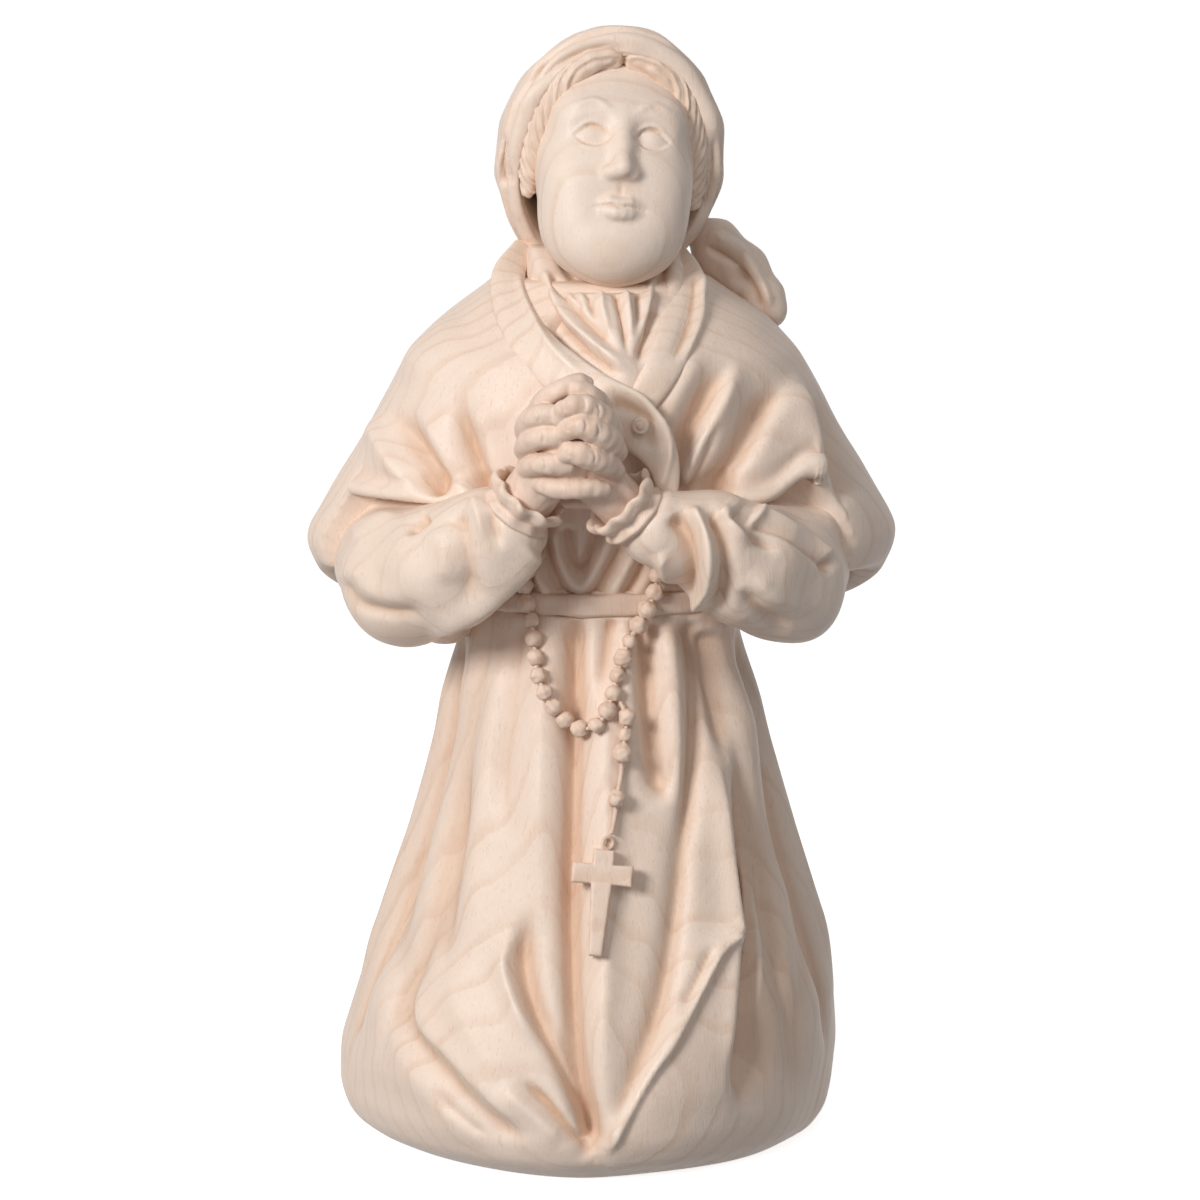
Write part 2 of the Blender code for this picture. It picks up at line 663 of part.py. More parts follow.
node(
    "bodice", loft(raised(BODICE_SECTIONS)), woods["bodice"],
    *waist_bores, bores["neck_dowel"], left_sleeve_room, right_sleeve_room, right_lapel_room, left_lapel_room,
)

# The cape, from two boards, let over the bodice and the sleeves.
under_cape = helper("under_cape", box((-100, -100, -100), (100, CAPE_FRONT, CHEST + CAPE_FRONT_HEM)))
neckline = helper("neckline", box((-20.0, -60.0, CHEST + NECKLINE_DEPTH), (21.0, -7.0, NECK_BASE + 30.0)))
waistband_room = helper("waistband_room", loft(band, CLEARANCE))
below_the_band = helper("below_the_band", loft(
    [(BELT_BOTTOM - 40.0, *band[0][1:]), (BELT_TOP + 1.0, *band[1][1:])], CLEARANCE,
))
CAPE_BOARDS = {
    "cape_front_board": (-200.0, CAPE_GLUE_LINE - half_gap),
    "cape_back_board": (CAPE_GLUE_LINE + half_gap, 200.0),
}
for name, (front, back) in CAPE_BOARDS.items():
    board = node(name, loft(cape_sections()), woods["cape"])
    boolean(board, slab(f"{name}_slab", front, back), "INTERSECT")
    cut(board, bodice_room, below_the_band, skirt_room, neckerchief_room, neck_room, skull_room, tail_room)
    cut(board, left_sleeve_room, right_sleeve_room, bores["right_arm_dowel"], bores["left_arm_dowel"])
    if name == "cape_front_board":
        cut(board, under_cape, neckline, *cuff_rooms)
    cut(board, right_lapel_room, left_lapel_room)

node("right_lapel", lapel(RIGHT_LAPEL_ROUTE), woods["lapel"], neckerchief_room, neck_room)
node("left_lapel", lapel(LEFT_LAPEL_ROUTE), woods["lapel"], neckerchief_room, right_lapel_room, neck_room)
node(
    "neckerchief", loft(raised(NECKERCHIEF_SECTIONS), 0.0, 24), woods["neckerchief"],
    bodice_room, neck_room, skull_room,
)

# The sleeves, pegged to the cape, with a socket for each wrist.
for side, shape, wrist_room, cuff_room in (
    ("left", sleeve(), wrist_rooms[1], cuff_rooms[1]),
    ("right", mirrored(sleeve()), wrist_rooms[0], cuff_rooms[0]),
):
    sleeve_node = node(f"{side}_sleeve", shape, woods["sleeve"], wrist_room, cuff_room)
    cut(sleeve_node, bores[f"{side}_arm_dowel"], waistband_room, skirt_room)
node("right_cuff", cuff(RIGHT_WRIST), woods["cuff"], wrist_rooms[0])
node("left_cuff", cuff(LEFT_WRIST), woods["cuff"], wrist_rooms[1])

# The clasped hands, one carving, with the wrists as its tenons.
hands = node("clasped_hands", wrist(RIGHT_WRIST, WRIST_RADIUS), woods["hands"])
join(hands, helper("left_wrist", wrist(LEFT_WRIST, WRIST_RADIUS)))
for k, shape in enumerate(hand_pieces()):
    join(hands, helper(f"hand_piece_{k:02d}", shape))

# The head, with the neck as its tenon.
head = node("head", skull(), woods["head"])
join(head, helper("neck", neck()), helper("hair", hair()), helper("nose", nose()))
join(head, helper("right_ear", ear(-1)), helper("left_ear", ear(1)))
cut(head, bores["neck_dowel"])

# The kerchief, a cap carved to sit on the skull and open at the face.
face_opening = placed(
    box((-60, -80, -60), (60, 0, 60)),
    head_frame() @ Matrix.Translation((0, -4.5, 0)) @ Matrix.Rotation(KERCHIEF_OPENING, 4, "X"),
)
kerchief_shape = placed(loft(head_sections(KERCHIEF_SECTIONS), 0.0, 24), head_frame())
kerchief = node("kerchief", kerchief_shape, woods["kerchief"])
ear_rooms = [helper(f"ear_room_{side}", ear(side, CLEARANCE)) for side in (-1, 1)]
cut(kerchief, helper("face_opening", face_opening), skull_room, hair_room, neck_room)
cut(kerchief, neckerchief_room, tail_room, cape_room)
cut(kerchief, right_lapel_room, left_lapel_room, *ear_rooms, bores["tail_dowel"])
node("kerchief_tail", tail(), woods["kerchief"], bores["tail_dowel"], skull_room)

button_stations = [
    (*BUTTON, BUTTON_RADIUS, BUTTON_RADIUS),
    (*(BUTTON + Vector((0, -BUTTON_HEIGHT, 0))), 0.8 * BUTTON_RADIUS, 0.8 * BUTTON_RADIUS),
]
button_shape = limb(button_stations, 0.0, 12, Vector((0, 0, 1)))
node("cape_button", button_shape, woods["button"], right_lapel_room, left_lapel_room)

# The rosary: a loop over the front of the skirt, a pendant, a ring and a cross.
stand_off = BEAD_RADIUS + CLEARANCE
loop_line = smooth_line(on_the_front(STRAND, stand_off), BEAD_PITCH / 2)
cord("rosary_cord", loop_line)
for k in range(1, len(loop_line) - 1, 2):
    node(f"rosary_bead_{(k + 1) // 2:02d}", bead(loop_line[k], direction_at(loop_line, k)), woods["rosary"])
pendant_line = smooth_line(on_the_front(PENDANT, stand_off), BEAD_PITCH / 2)
cord("pendant_cord", pendant_line)
for number, share in enumerate(PENDANT_BEADS, 1):
    k = round(share * (len(pendant_line) - 1))
    node(f"pendant_bead_{number}", bead(pendant_line[k], direction_at(pendant_line, k)), woods["rosary"])
node("rosary_cross", cross(), woods["cross"], skirt_room)
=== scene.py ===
"""The look of the carved maple figure: every garment is modelled as a solid field, skinned, and then carved.

Lengths are in millimetres until a piece is made. X runs to the viewer's right, Y to the back, Z up.
A drawing is what the figure shows from one side: (across, up), as seen along the drawing's own direction.
"""

import math

import bpy
import numpy as np
import openvdb
from mathutils import Euler, Matrix, Vector
from mathutils.bvhtree import BVHTree


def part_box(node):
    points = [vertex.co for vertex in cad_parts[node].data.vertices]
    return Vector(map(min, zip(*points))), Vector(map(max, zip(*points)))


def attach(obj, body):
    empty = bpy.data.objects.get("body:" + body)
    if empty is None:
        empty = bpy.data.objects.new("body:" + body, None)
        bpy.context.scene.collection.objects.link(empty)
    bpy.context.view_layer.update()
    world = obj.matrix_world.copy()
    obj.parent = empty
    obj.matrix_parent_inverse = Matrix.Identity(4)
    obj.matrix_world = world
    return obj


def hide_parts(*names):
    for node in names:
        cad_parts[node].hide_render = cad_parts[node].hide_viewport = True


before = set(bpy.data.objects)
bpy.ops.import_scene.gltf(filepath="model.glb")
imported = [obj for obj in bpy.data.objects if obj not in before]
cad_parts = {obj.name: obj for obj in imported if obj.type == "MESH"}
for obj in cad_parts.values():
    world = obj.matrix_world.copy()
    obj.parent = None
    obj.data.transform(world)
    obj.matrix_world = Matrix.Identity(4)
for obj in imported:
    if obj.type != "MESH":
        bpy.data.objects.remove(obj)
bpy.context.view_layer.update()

MM = 0.001
COARSER = 1.0
rng = np.random.default_rng(7)

# ---------------------------------------------------------------- sizes taken from the frame
def node_box(name):
    low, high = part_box(name)
    return np.array(low) / MM, np.array(high) / MM


SPINE = -7.8                                    # the spine's y
SKIRT_TOP = node_box("skirt_front_board")[1][2]
BAND_LOW, BAND_HIGH = (corner[2] for corner in node_box("waistband"))
CHEST = node_box("bodice")[0][2]
NECK_BASE = node_box("bodice")[1][2]
HEAD_CENTRE = Vector((2.6, 3.0 + SPINE, NECK_BASE + 35.4))
HEAD_TILT = Euler((math.radians(-20), math.radians(5), math.radians(6)), "XYZ")
HEAD = Matrix.Translation(HEAD_CENTRE) @ HEAD_TILT.to_matrix().to_4x4()
GLUE_LINES = (SPINE - 8.0, SPINE + 34.0)        # between the skirt's three boards
CAPE_GLUE_LINE = SPINE + 4.0
GLUE_LINE_WIDTH = 0.42
FRONT = (0.0, 10.0)                             # azimuth and elevation that the front is drawn from
EYE = 1200.0                                    # how far away a drawing's eye is
AIM = np.array((0.0, 0.0, 119.1))               # what the eye looks at


class Drawing:
    """The plane through the aim point that the eye sees the figure against."""

    def __init__(self, azimuth, elevation):
        a, e = math.radians(azimuth), math.radians(elevation)
        self.across = np.array((math.cos(a), math.sin(a), 0.0))
        self.upward = np.array((-math.sin(a) * math.sin(e), math.cos(a) * math.sin(e), math.cos(e)))
        self.towards = np.array((math.sin(a) * math.cos(e), -math.cos(a) * math.cos(e), math.sin(e)))
        self.origin = np.array((AIM @ self.across, AIM @ self.upward))

    def of(self, points):
        """Where the points are seen, as (across, up)."""
        p = points - AIM
        scale = EYE / (EYE - p @ self.towards)
        return np.stack([p @ self.across * scale, p @ self.upward * scale], axis=1) + self.origin

    def place(self, across, up, y):
        """The point at depth y that is seen at (across, up)."""
        eye = AIM + self.towards * EYE
        seen = AIM + self.across * (across - self.origin[0]) + self.upward * (up - self.origin[1])
        return eye + (seen - eye) * (y - eye[1]) / (seen[1] - eye[1])


seen = Drawing(*FRONT).place


# ---------------------------------------------------------------- fields
class Grid:
    """Broadcastable coordinates of a box of voxels."""

    def __init__(self, low, high, step):
        step = step * COARSER
        self.low, self.step = np.array(low, float) - 2 * step, step
        counts = [int(math.ceil((b - a) / step)) + 4 for a, b in zip(low, high)]
        lines = [self.low[k] + step * np.arange(counts[k]) for k in range(3)]
        self.x, self.y, self.z = np.meshgrid(*lines, indexing="ij", sparse=True)

    def skin(self, field):
        """The surface where the field is zero, as points and quads."""
        volume = openvdb.FloatGrid(background=10.0)
        volume.copyFromArray(np.ascontiguousarray(np.broadcast_to(field, self.shape()), dtype=np.float32))
        points, quads = volume.convertToQuads(isovalue=0.0)
        return Carving(np.asarray(points, float) * self.step + self.low, np.asarray(quads, np.int64))

    def shape(self):
        return np.broadcast_shapes(self.x.shape, self.y.shape, self.z.shape)


def ellipsoid(g, centre, radii, power=2.0):
    """An ellipsoid, or a fuller one where power is over 2."""
    u, v, w = ((line - c) / r for line, c, r in zip((g.x, g.y, g.z), centre, radii))
    reach = (np.abs(u) ** power + np.abs(v) ** power + np.abs(w) ** power) ** (1 / power)
    return (reach - 1) * min(radii)


def capsule(g, a, b, ra, rb):
    """A bar from a to b whose radius runs from ra to rb."""
    a, b = np.array(a, float), np.array(b, float)
    d = b - a
    px, py, pz = g.x - a[0], g.y - a[1], g.z - a[2]
    t = np.clip((px * d[0] + py * d[1] + pz * d[2]) / (d @ d), 0, 1)
    gap = np.sqrt((px - t * d[0]) ** 2 + (py - t * d[1]) ** 2 + (pz - t * d[2]) ** 2)
    return gap - (ra + (rb - ra) * t)


def chain(g, points, radii, blend=0.8):
    field = None
    for a, b, ra, rb in zip(points, points[1:], radii, radii[1:]):
        part = capsule(g, a, b, ra, rb)
        field = part if field is None else merge(field, part, blend)
    return field


def soft_chain(g, points, radii, count=12, blend=1.5):
    """A chain along the smooth curve through its points."""
    line = smooth_route(np.column_stack([points, radii]), count)
    return chain(g, line[:, :3], line[:, 3], blend)


def merge(a, b, blend):
    """Smooth union."""
    h = np.clip(0.5 + 0.5 * (b - a) / blend, 0, 1)
    return b + (a - b) * h - blend * h * (1 - h)


def without(a, b, blend):
    """a with b smoothly taken away."""
    return -merge(-a, b, blend)


def within(a, b, blend):
    """What a and b share, with a rounded edge."""
    return -merge(-a, -b, blend)


def eased(rows, z, window):
    """Each column of a table against its first, as a smooth function of z."""
    rows = np.array(rows, float)
    fine = np.linspace(rows[0, 0] - 3 * window, rows[-1, 0] + 3 * window, 900)
    kernel = np.hanning(max(3, int(window / (fine[1] - fine[0])) | 1))
    kernel /= kernel.sum()
    columns = []
    for k in range(1, rows.shape[1]):
        line = np.convolve(np.interp(fine, rows[:, 0], rows[:, k]), kernel, "same")
        columns.append(np.interp(z, fine, line))
    return columns


def lofted(g, rows, window=6.0, power=2.2):
    """Rows of (z, side shift, widest line's y, half width, front y, back y), y from the spine."""
    shift, middle, width, front, back = eased(rows, g.z, window)
    across = np.abs(g.x - shift) / width
    y = g.y - SPINE - middle
    along = np.where(y > 0, y / (back - middle), -y / (middle - front))
    reach = (across**power + along**power) ** (1 / power)
    return (reach - 1) * np.minimum(width, 0.5 * (back - front))


# ---------------------------------------------------------------- carving
def smooth_route(points, count):
    """A Catmull-Rom curve through the points, evenly spaced."""
    p = np.array(points, float)
    if len(p) == 2:
        return p[0] + (p[1] - p[0]) * np.linspace(0, 1, count)[:, None]
    ends = np.vstack([2 * p[0] - p[1], p, 2 * p[-1] - p[-2]])
    t = np.linspace(0, 1, 24, endpoint=False)[:, None]
    runs = []
    for a, b, c, d in zip(ends, ends[1:], ends[2:], ends[3:]):
        runs.append(
            0.5 * (2 * b + (c - a) * t + (2 * a - 5 * b + 4 * c - d) * t**2 + (3 * b - a - 3 * c + d) * t**3)
        )
    fine = np.vstack([*runs, p[-1:]])
    walked = np.concatenate([[0], np.cumsum(np.linalg.norm(np.diff(fine, axis=0), axis=1))])
    at = np.linspace(0, walked[-1], count)
    return np.stack([np.interp(at, walked, fine[:, k]) for k in range(fine.shape[1])], axis=1)


def ramp(value, low, high):
    t = np.clip((value - low) / (high - low), 0, 1)
    return t * t * (3 - 2 * t)


def bell(distance, width):
    return np.exp(-((distance / width) ** 2))


def tube_quads(rows, sides, closed=True):
    """Faces between rings of points; the last ring joins the first where the tube is closed."""
    i = np.arange(sides)
    j = (i + 1) % sides
    return np.vstack([
        np.stack([r * sides + i, r * sides + j, (r + 1) % rows * sides + j, (r + 1) % rows * sides + i], axis=1)
        for r in range(rows if closed else rows - 1)
    ])


class Carving:
    """A dense skin that strokes, noise and smoothing work on."""

    def __init__(self, points, quads):
        self.points, self.quads = points, quads
        self.hollow = np.zeros(len(points))

    def normals(self):
        p = self.points[self.quads]
        face = np.cross(p[:, 2] - p[:, 0], p[:, 3] - p[:, 1])
        total = np.zeros_like(self.points)
        for k in range(3):
            total[:, k] = np.bincount(
                self.quads.ravel(), np.repeat(face[:, k], 4), minlength=len(self.points)
            )
        return total / np.maximum(np.linalg.norm(total, axis=1, keepdims=True), 1e-12)

    def outward(self):
        """Turns the faces so that they look out."""
        p = self.points[self.quads]
        middle = p.mean(axis=1)
        face = np.cross(p[:, 2] - p[:, 0], p[:, 3] - p[:, 1])
        if (face * middle).sum() < 0:
            self.quads = self.quads[:, ::-1]
        return self

    def turned_out(self):
        """Turns the faces of a small round piece away from its middle."""
        if (self.normals() * (self.points - self.points.mean(axis=0))).sum() < 0:
            self.quads = self.quads[:, ::-1]
        return self

    def smooth(self, rounds=2, share=0.5):
        a = self.quads.ravel()
        b = np.roll(self.quads, -1, axis=1).ravel()
        ends, others = np.concatenate([a, b]), np.concatenate([b, a])
        count = np.maximum(np.bincount(ends, minlength=len(self.points)), 1)
        for _ in range(rounds):
            for k in range(3):
                mean = np.bincount(ends, self.points[others, k], minlength=len(self.points)) / count
                self.points[:, k] += share * (mean - self.points[:, k])
        return self

    def carve(self, strokes, drawing=FRONT, facing=(0.05, 0.4), power=1.7, where=1.0):
        """Strokes of (height, left width, right width, route, fade in, fade out), left and right of a route
        that goes down the figure."""
        view = Drawing(*drawing)
        normals = self.normals()
        weight = ramp(normals @ view.towards, *facing) * where
        plane = view.of(self.points)
        moved = np.zeros(len(self.points))
        for height, left, right, route, *fades in strokes:
            fade_in, fade_out = fades or (0.12, 0.12)
            line = smooth_route(route, 26)
            reach = 2.2 * max(left, right)
            near = np.flatnonzero(
                (weight > 0)
                & (plane > line.min(axis=0) - reach).all(axis=1)
                & (plane < line.max(axis=0) + reach).all(axis=1)
            )
            if not len(near):
                continue
            p = plane[near][:, None, :] - line[None, :-1]
            d = np.diff(line, axis=0)[None]
            length = (d**2).sum(axis=2)
            t = np.clip((p * d).sum(axis=2) / length, 0, 1)
            gap = p - t[..., None] * d
            distance = np.sqrt((gap**2).sum(axis=2))
            best = distance.argmin(axis=1)
            rows = np.arange(len(near))
            side = (d[0, best, 0] * gap[rows, best, 1] - d[0, best, 1] * gap[rows, best, 0]) > 0
            share = (best + t[rows, best]) / (len(line) - 1)
            width = np.where(side, right, left)
            profile = np.exp(-((distance[rows, best] / width) ** power))
            taper = ramp(share, -0.02, fade_in) * ramp(1 - share, -0.02, fade_out)
            moved[near] += height * profile * taper * weight[near]
        self.points += normals * moved[:, None]
        self.hollow += moved
        return self

    def push(self, amount):
        """Moves every point out by its own amount."""
        self.points += self.normals() * amount[:, None]
        self.hollow += amount
        return self

    def waver(self, height, wavelength, seed):
        """A soft unevenness, as a blade leaves it."""
        waves = np.random.default_rng(seed)
        total = np.zeros(len(self.points))
        for _ in range(14):
            direction = waves.normal(size=3)
            direction *= 2 * math.pi / wavelength / np.linalg.norm(direction) * waves.uniform(0.6, 1.7)
            total += np.sin(self.points @ direction + waves.uniform(0, 6.28))
        self.points += self.normals() * (total * height / 5)[:, None]
        return self

    def placed(self, matrix):
        m = np.array(matrix)
        self.points = self.points @ m[:3, :3].T + m[:3, 3]
        return self

    def bend_of_surface(self):
        """Mean bend at two scales: hollows are negative, edges positive."""
        calm = Carving(self.points.copy(), self.quads)
        n = self.normals()
        calm.smooth(5, 0.6)
        near = ((self.points - calm.points) * n).sum(axis=1)
        calm.smooth(9, 0.7)
        far = 2.0 * ((self.points - calm.points) * n).sum(axis=1) + 0.6 * self.hollow
        return near, far

    def make(self, name, wood, slot, *nodes):
        near, far = self.bend_of_surface()
        mesh = bpy.data.meshes.new(name)
        mesh.vertices.add(len(self.points))
        mesh.vertices.foreach_set("co", (self.points * MM).astype(np.float32).ravel())
        mesh.loops.add(self.quads.size)
        mesh.loops.foreach_set("vertex_index", self.quads.ravel().astype(np.int32))
        mesh.polygons.add(len(self.quads))
        mesh.polygons.foreach_set("loop_start", np.arange(0, self.quads.size, 4, dtype=np.int32))
        mesh.update(calc_edges=True)
        mesh.validate()
        mesh.shade_smooth()
        # the bends go to the material, which paints shade in hollows and creases and a highlight on convex edges
        for key, values in (("edge", near), ("hollow", far)):
            layer = mesh.attributes.new(key, "FLOAT", "POINT")
            layer.data.foreach_set("value", values.astype(np.float32))
        piece = bpy.data.objects.new(name, mesh)
        bpy.context.scene.collection.objects.link(piece)
        mesh.materials.append(wood)
        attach(piece, "root")
        if nodes:
            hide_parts(*nodes)
        return piece


def sweep(route, sides=36, count=120, power=2.6, flat=(0, -1, 0)):
    """Skins a band along (x, y, z, half width, half thickness) stations; y is from the spine."""
    s = smooth_route(route, count)
    centre = s[:, :3] + (0, SPINE, 0)
    along = np.gradient(centre, axis=0)
    along /= np.linalg.norm(along, axis=1, keepdims=True)
    flat = np.broadcast_to(np.array(flat, float), along.shape)
    thick = flat - along * (flat * along).sum(axis=1, keepdims=True)
    thick /= np.linalg.norm(thick, axis=1, keepdims=True)
    wide = np.cross(thick, along)
    angle = np.linspace(0, 2 * math.pi, sides, endpoint=False)
    c, n = np.cos(angle), np.sin(angle)
    u, v = np.sign(c) * np.abs(c) ** (2 / power), np.sign(n) * np.abs(n) ** (2 / power)
    closing = np.sqrt(np.clip(1 - np.linspace(1, 0, 7)[:-1] ** 2, 0.0004, 1))
    rings = []
    for k, size in (
        [(0, q) for q in closing] + [(k, 1) for k in range(count)] + [(count - 1, q) for q in closing[::-1]]
    ):
        step = 0.0
        if size < 1:
            step = math.sqrt(1 - size * size) * s[k, 4] * (-1 if k == 0 else 1)
        rings.append(
            centre[k] + along[k] * step
            + size * (wide[k] * (u * s[k, 3])[:, None] + thick[k] * (v * s[k, 4])[:, None])
        )
    points = np.vstack(rings)
    rows = len(rings)
    quads = [tube_quads(rows, sides, closed=False)]
    half = sides // 2
    for r, turn in ((0, -1), (rows - 1, 1)):
        i = np.arange(half - 1)
        lid = np.stack(
            [r * sides + i, r * sides + i + 1, r * sides + sides - 2 - i, r * sides + (sides - 1 - i) % sides],
            axis=1
        )
        quads.append(lid[:, ::turn])
    return Carving(points, np.vstack(quads).astype(np.int64))


# ---------------------------------------------------------------- maple
def maple(name, tone=(0.83, 0.668, 0.559), pith=(0.0, 105.0), rings=2.1, fleck=1.0, joints=()):
    """Solid maple: growth rings round an upright pith line, ray flecks and pores, with painted highlight on convex
    edges and painted shade in hollows and creases.
    """
    wood = bpy.data.materials.new(name)
    wood.use_nodes = True
    nodes, links = wood.node_tree.nodes, wood.node_tree.links
    shader = nodes["Principled BSDF"]

    def add(kind, **settings):
        made = nodes.new(kind)
        for key, value in settings.items():
            setattr(made, key, value)
        return made

    def put(value, socket):
        if isinstance(value, bpy.types.NodeSocket):
            links.new(value, socket)
        else:
            socket.default_value = value

    def maths(operation, *values):
        made = add("ShaderNodeMath", operation=operation)
        for value, socket in zip(values, made.inputs):
            put(value, socket)
        return made.outputs[0]

    def times(a, b):
        return maths("MULTIPLY", a, b)

    def noise(where, scale, detail=3.0, roughness=0.55):
        made = add("ShaderNodeTexNoise")
        links.new(where, made.inputs["Vector"])
        made.inputs["Scale"].default_value = scale
        made.inputs["Detail"].default_value = detail
        made.inputs["Roughness"].default_value = roughness
        return made.outputs["Fac"]

    def mapped(where, location=(0, 0, 0), rotation=(0, 0, 0), scale=(1, 1, 1)):
        made = add("ShaderNodeMapping")
        links.new(where, made.inputs["Vector"])
        made.inputs["Location"].default_value = location
        made.inputs["Rotation"].default_value = rotation
        made.inputs["Scale"].default_value = scale
        return made.outputs["Vector"]

    def curve(value, *stops):
        made = add("ShaderNodeMapRange", interpolation_type="SMOOTHSTEP")
        links.new(value, made.inputs["Value"])
        for socket, stop in zip(list(made.inputs)[1:5], stops):
            socket.default_value = stop
        return made.outputs["Result"]

    def tinted(factor, below, tint):
        made = add("ShaderNodeMix", data_type="RGBA", blend_type="MULTIPLY")
        links.new(factor, made.inputs[0])
        put(below, made.inputs[6])
        put((*tint, 1.0), made.inputs[7])
        return made.outputs[2]

    place = add("ShaderNodeTexCoord").outputs["Object"]
    mm = mapped(place, scale=(1000, 1000, 1000))
    wander = noise(mm, 0.018, 3.0)
    fine_wander = noise(mm, 0.11, 2.0)
    split = add("ShaderNodeSeparateXYZ")
    links.new(mm, split.inputs[0])
    x = maths("SUBTRACT", split.outputs["X"], pith[0])
    y = maths("SUBTRACT", split.outputs["Y"], pith[1])
    radius = maths("SQRT", maths("ADD", times(x, x), times(y, y)))
    radius = maths("ADD", radius, times(wander, 9.0))
    radius = maths("ADD", radius, times(fine_wander, 1.1))
    board = 0.0
    for joint in joints:                        # past a glue line the grain is another board's
        board = maths("ADD", maths("GREATER_THAN", split.outputs["Y"], joint), board)
    radius = maths("ADD", radius, times(board, 1.37 * rings + 5.0))
    ring = maths("FRACT", maths("DIVIDE", radius, 1.5 * rings))
    late = curve(ring, 0.66, 0.95, 0.0, 1.0)
    early = curve(ring, 0.0, 0.06, 1.0, 0.0)
    line = maths("MAXIMUM", late, early)
    strength = curve(noise(mm, 0.05, 2.0), 0.3, 0.7, 0.35, 1.0)
    line = times(line, strength)

    rays = noise(mapped(mm, scale=(1.0, 1.0, 0.12)), 1.35, 2.0, 0.6)
    rays = curve(rays, 0.60, 0.70, 0.0, 1.0)
    fibre = noise(mapped(mm, scale=(1.0, 1.0, 0.05)), 2.4, 3.0, 0.7)
    pores = curve(noise(mapped(mm, scale=(1.0, 1.0, 0.35)), 3.4, 1.0), 0.66, 0.74, 0.0, 1.0)
    cloud = curve(noise(mm, 0.03, 4.0), 0.32, 0.70, 0.0, 1.0)

    # painted shade and highlight: the surface bends stored on each piece darken hollows and creases and lighten
    # convex edges
    hollow = add("ShaderNodeAttribute", attribute_name="hollow").outputs["Fac"]
    edge = add("ShaderNodeAttribute", attribute_name="edge").outputs["Fac"]
    deep = curve(hollow, -0.08, -1.5, 0.0, 1.0)
    crease_shade = curve(edge, -0.03, -0.35, 0.0, 1.0)
    edge_highlight = curve(edge, 0.04, 0.30, 0.0, 1.0)

    colour = (*tone, 1.0)
    for factor, share, tint in (
        (line, 0.62, (0.875, 0.80, 0.73)),
        (cloud, 0.5, (0.955, 0.925, 0.89)),
        (board, 0.5, (0.95, 0.915, 0.885)),
        (rays, 0.42 * fleck, (0.86, 0.76, 0.67)),
        (curve(fibre, 0.35, 0.75, 0.0, 1.0), 0.35 * fleck, (0.93, 0.88, 0.83)),
        (pores, 0.3, (0.80, 0.66, 0.54)),
        # painted shade: darker, warmer colour in hollows and in creases
        (deep, 0.75, (0.86, 0.755, 0.665)),
        (crease_shade, 0.55, (0.80, 0.68, 0.57)),
    ):
        colour = tinted(times(factor, share), colour, tint)
    # painted highlight: convex edges are mixed towards a lighter colour; they are also made a little smoother
    highlight_mix = add("ShaderNodeMix", data_type="RGBA")
    links.new(times(edge_highlight, 0.30), highlight_mix.inputs[0])
    links.new(colour, highlight_mix.inputs[6])
    highlight_mix.inputs[7].default_value = (0.93, 0.79, 0.66, 1.0)
    links.new(highlight_mix.outputs[2], shader.inputs["Base Color"])

    rough = maths("ADD", times(fibre, 0.22), 0.40)
    rough = maths("ADD", rough, times(deep, 0.10))
    links.new(maths("SUBTRACT", rough, times(edge_highlight, 0.10)), shader.inputs["Roughness"])
    relief = maths("ADD", times(fibre, 0.5), times(line, -0.35))
    relief = maths("ADD", relief, times(pores, -0.6))
    relief = maths("ADD", relief, times(noise(mm, 0.35, 2.0), 1.1))
    bump = add("ShaderNodeBump")
    bump.inputs["Strength"].default_value = 0.32
    bump.inputs["Distance"].default_value = 0.0004
    links.new(relief, bump.inputs["Height"])
    links.new(bump.outputs["Normal"], shader.inputs["Normal"])
    shader.inputs["Specular IOR Level"].default_value = 0.38
    shader.inputs["Coat Weight"].default_value = 0.06
    shader.inputs["Coat Roughness"].default_value = 0.35
    return wood


skirt_wood = maple("skirt_maple", rings=2.4, joints=GLUE_LINES)
waistband_wood = maple("waistband_maple", (0.800, 0.623, 0.517), (4.0, 96.0), 2.4)
bodice_wood = maple("bodice_maple", (0.790, 0.613, 0.501), (2.0, 110.0))
cape_wood = maple("cape_maple", (0.840, 0.678, 0.570), (-6.0, 118.0), 2.2, joints=(CAPE_GLUE_LINE,))
lapel_wood = maple("lapel_maple", (0.840, 0.683, 0.575), (-10.0, 90.0), 2.0)
scarf_wood = maple("neckerchief_maple", (0.840, 0.688, 0.586), (12.0, 84.0), 2.0)
sleeve_wood = maple("sleeve_maple", (0.840, 0.683, 0.575), (0.0, 92.0), 2.1)
cuff_wood = maple("cuff_maple", (0.800, 0.623, 0.512), (0.0, 80.0), 2.6)
hands_wood = maple("hands_maple", (0.800, 0.613, 0.501), (6.0, 70.0), 2.3, 0.7)
head_wood = maple("head_maple", (0.840, 0.693, 0.591), (3.0, 120.0), 2.6, 0.55)
hair_wood = maple("hair_maple", (0.800, 0.623, 0.506), (3.0, 100.0), 2.4)
kerchief_wood = maple("kerchief_maple", (0.835, 0.673, 0.564), (4.0, 88.0), 2.0)
button_wood = maple("button_maple", (0.800, 0.623, 0.506), (0.0, 60.0), 1.6)
rosary_wood = maple("rosary_maple", (0.790, 0.603, 0.485), (0.0, 60.0), 1.7, 0.8)
cross_wood = maple("cross_maple", (0.810, 0.633, 0.522), (2.0, 75.0), 2.0)
dowel_wood = maple("dowel_beech", (0.62, 0.42, 0.27), (0.0, 30.0), 1.5)


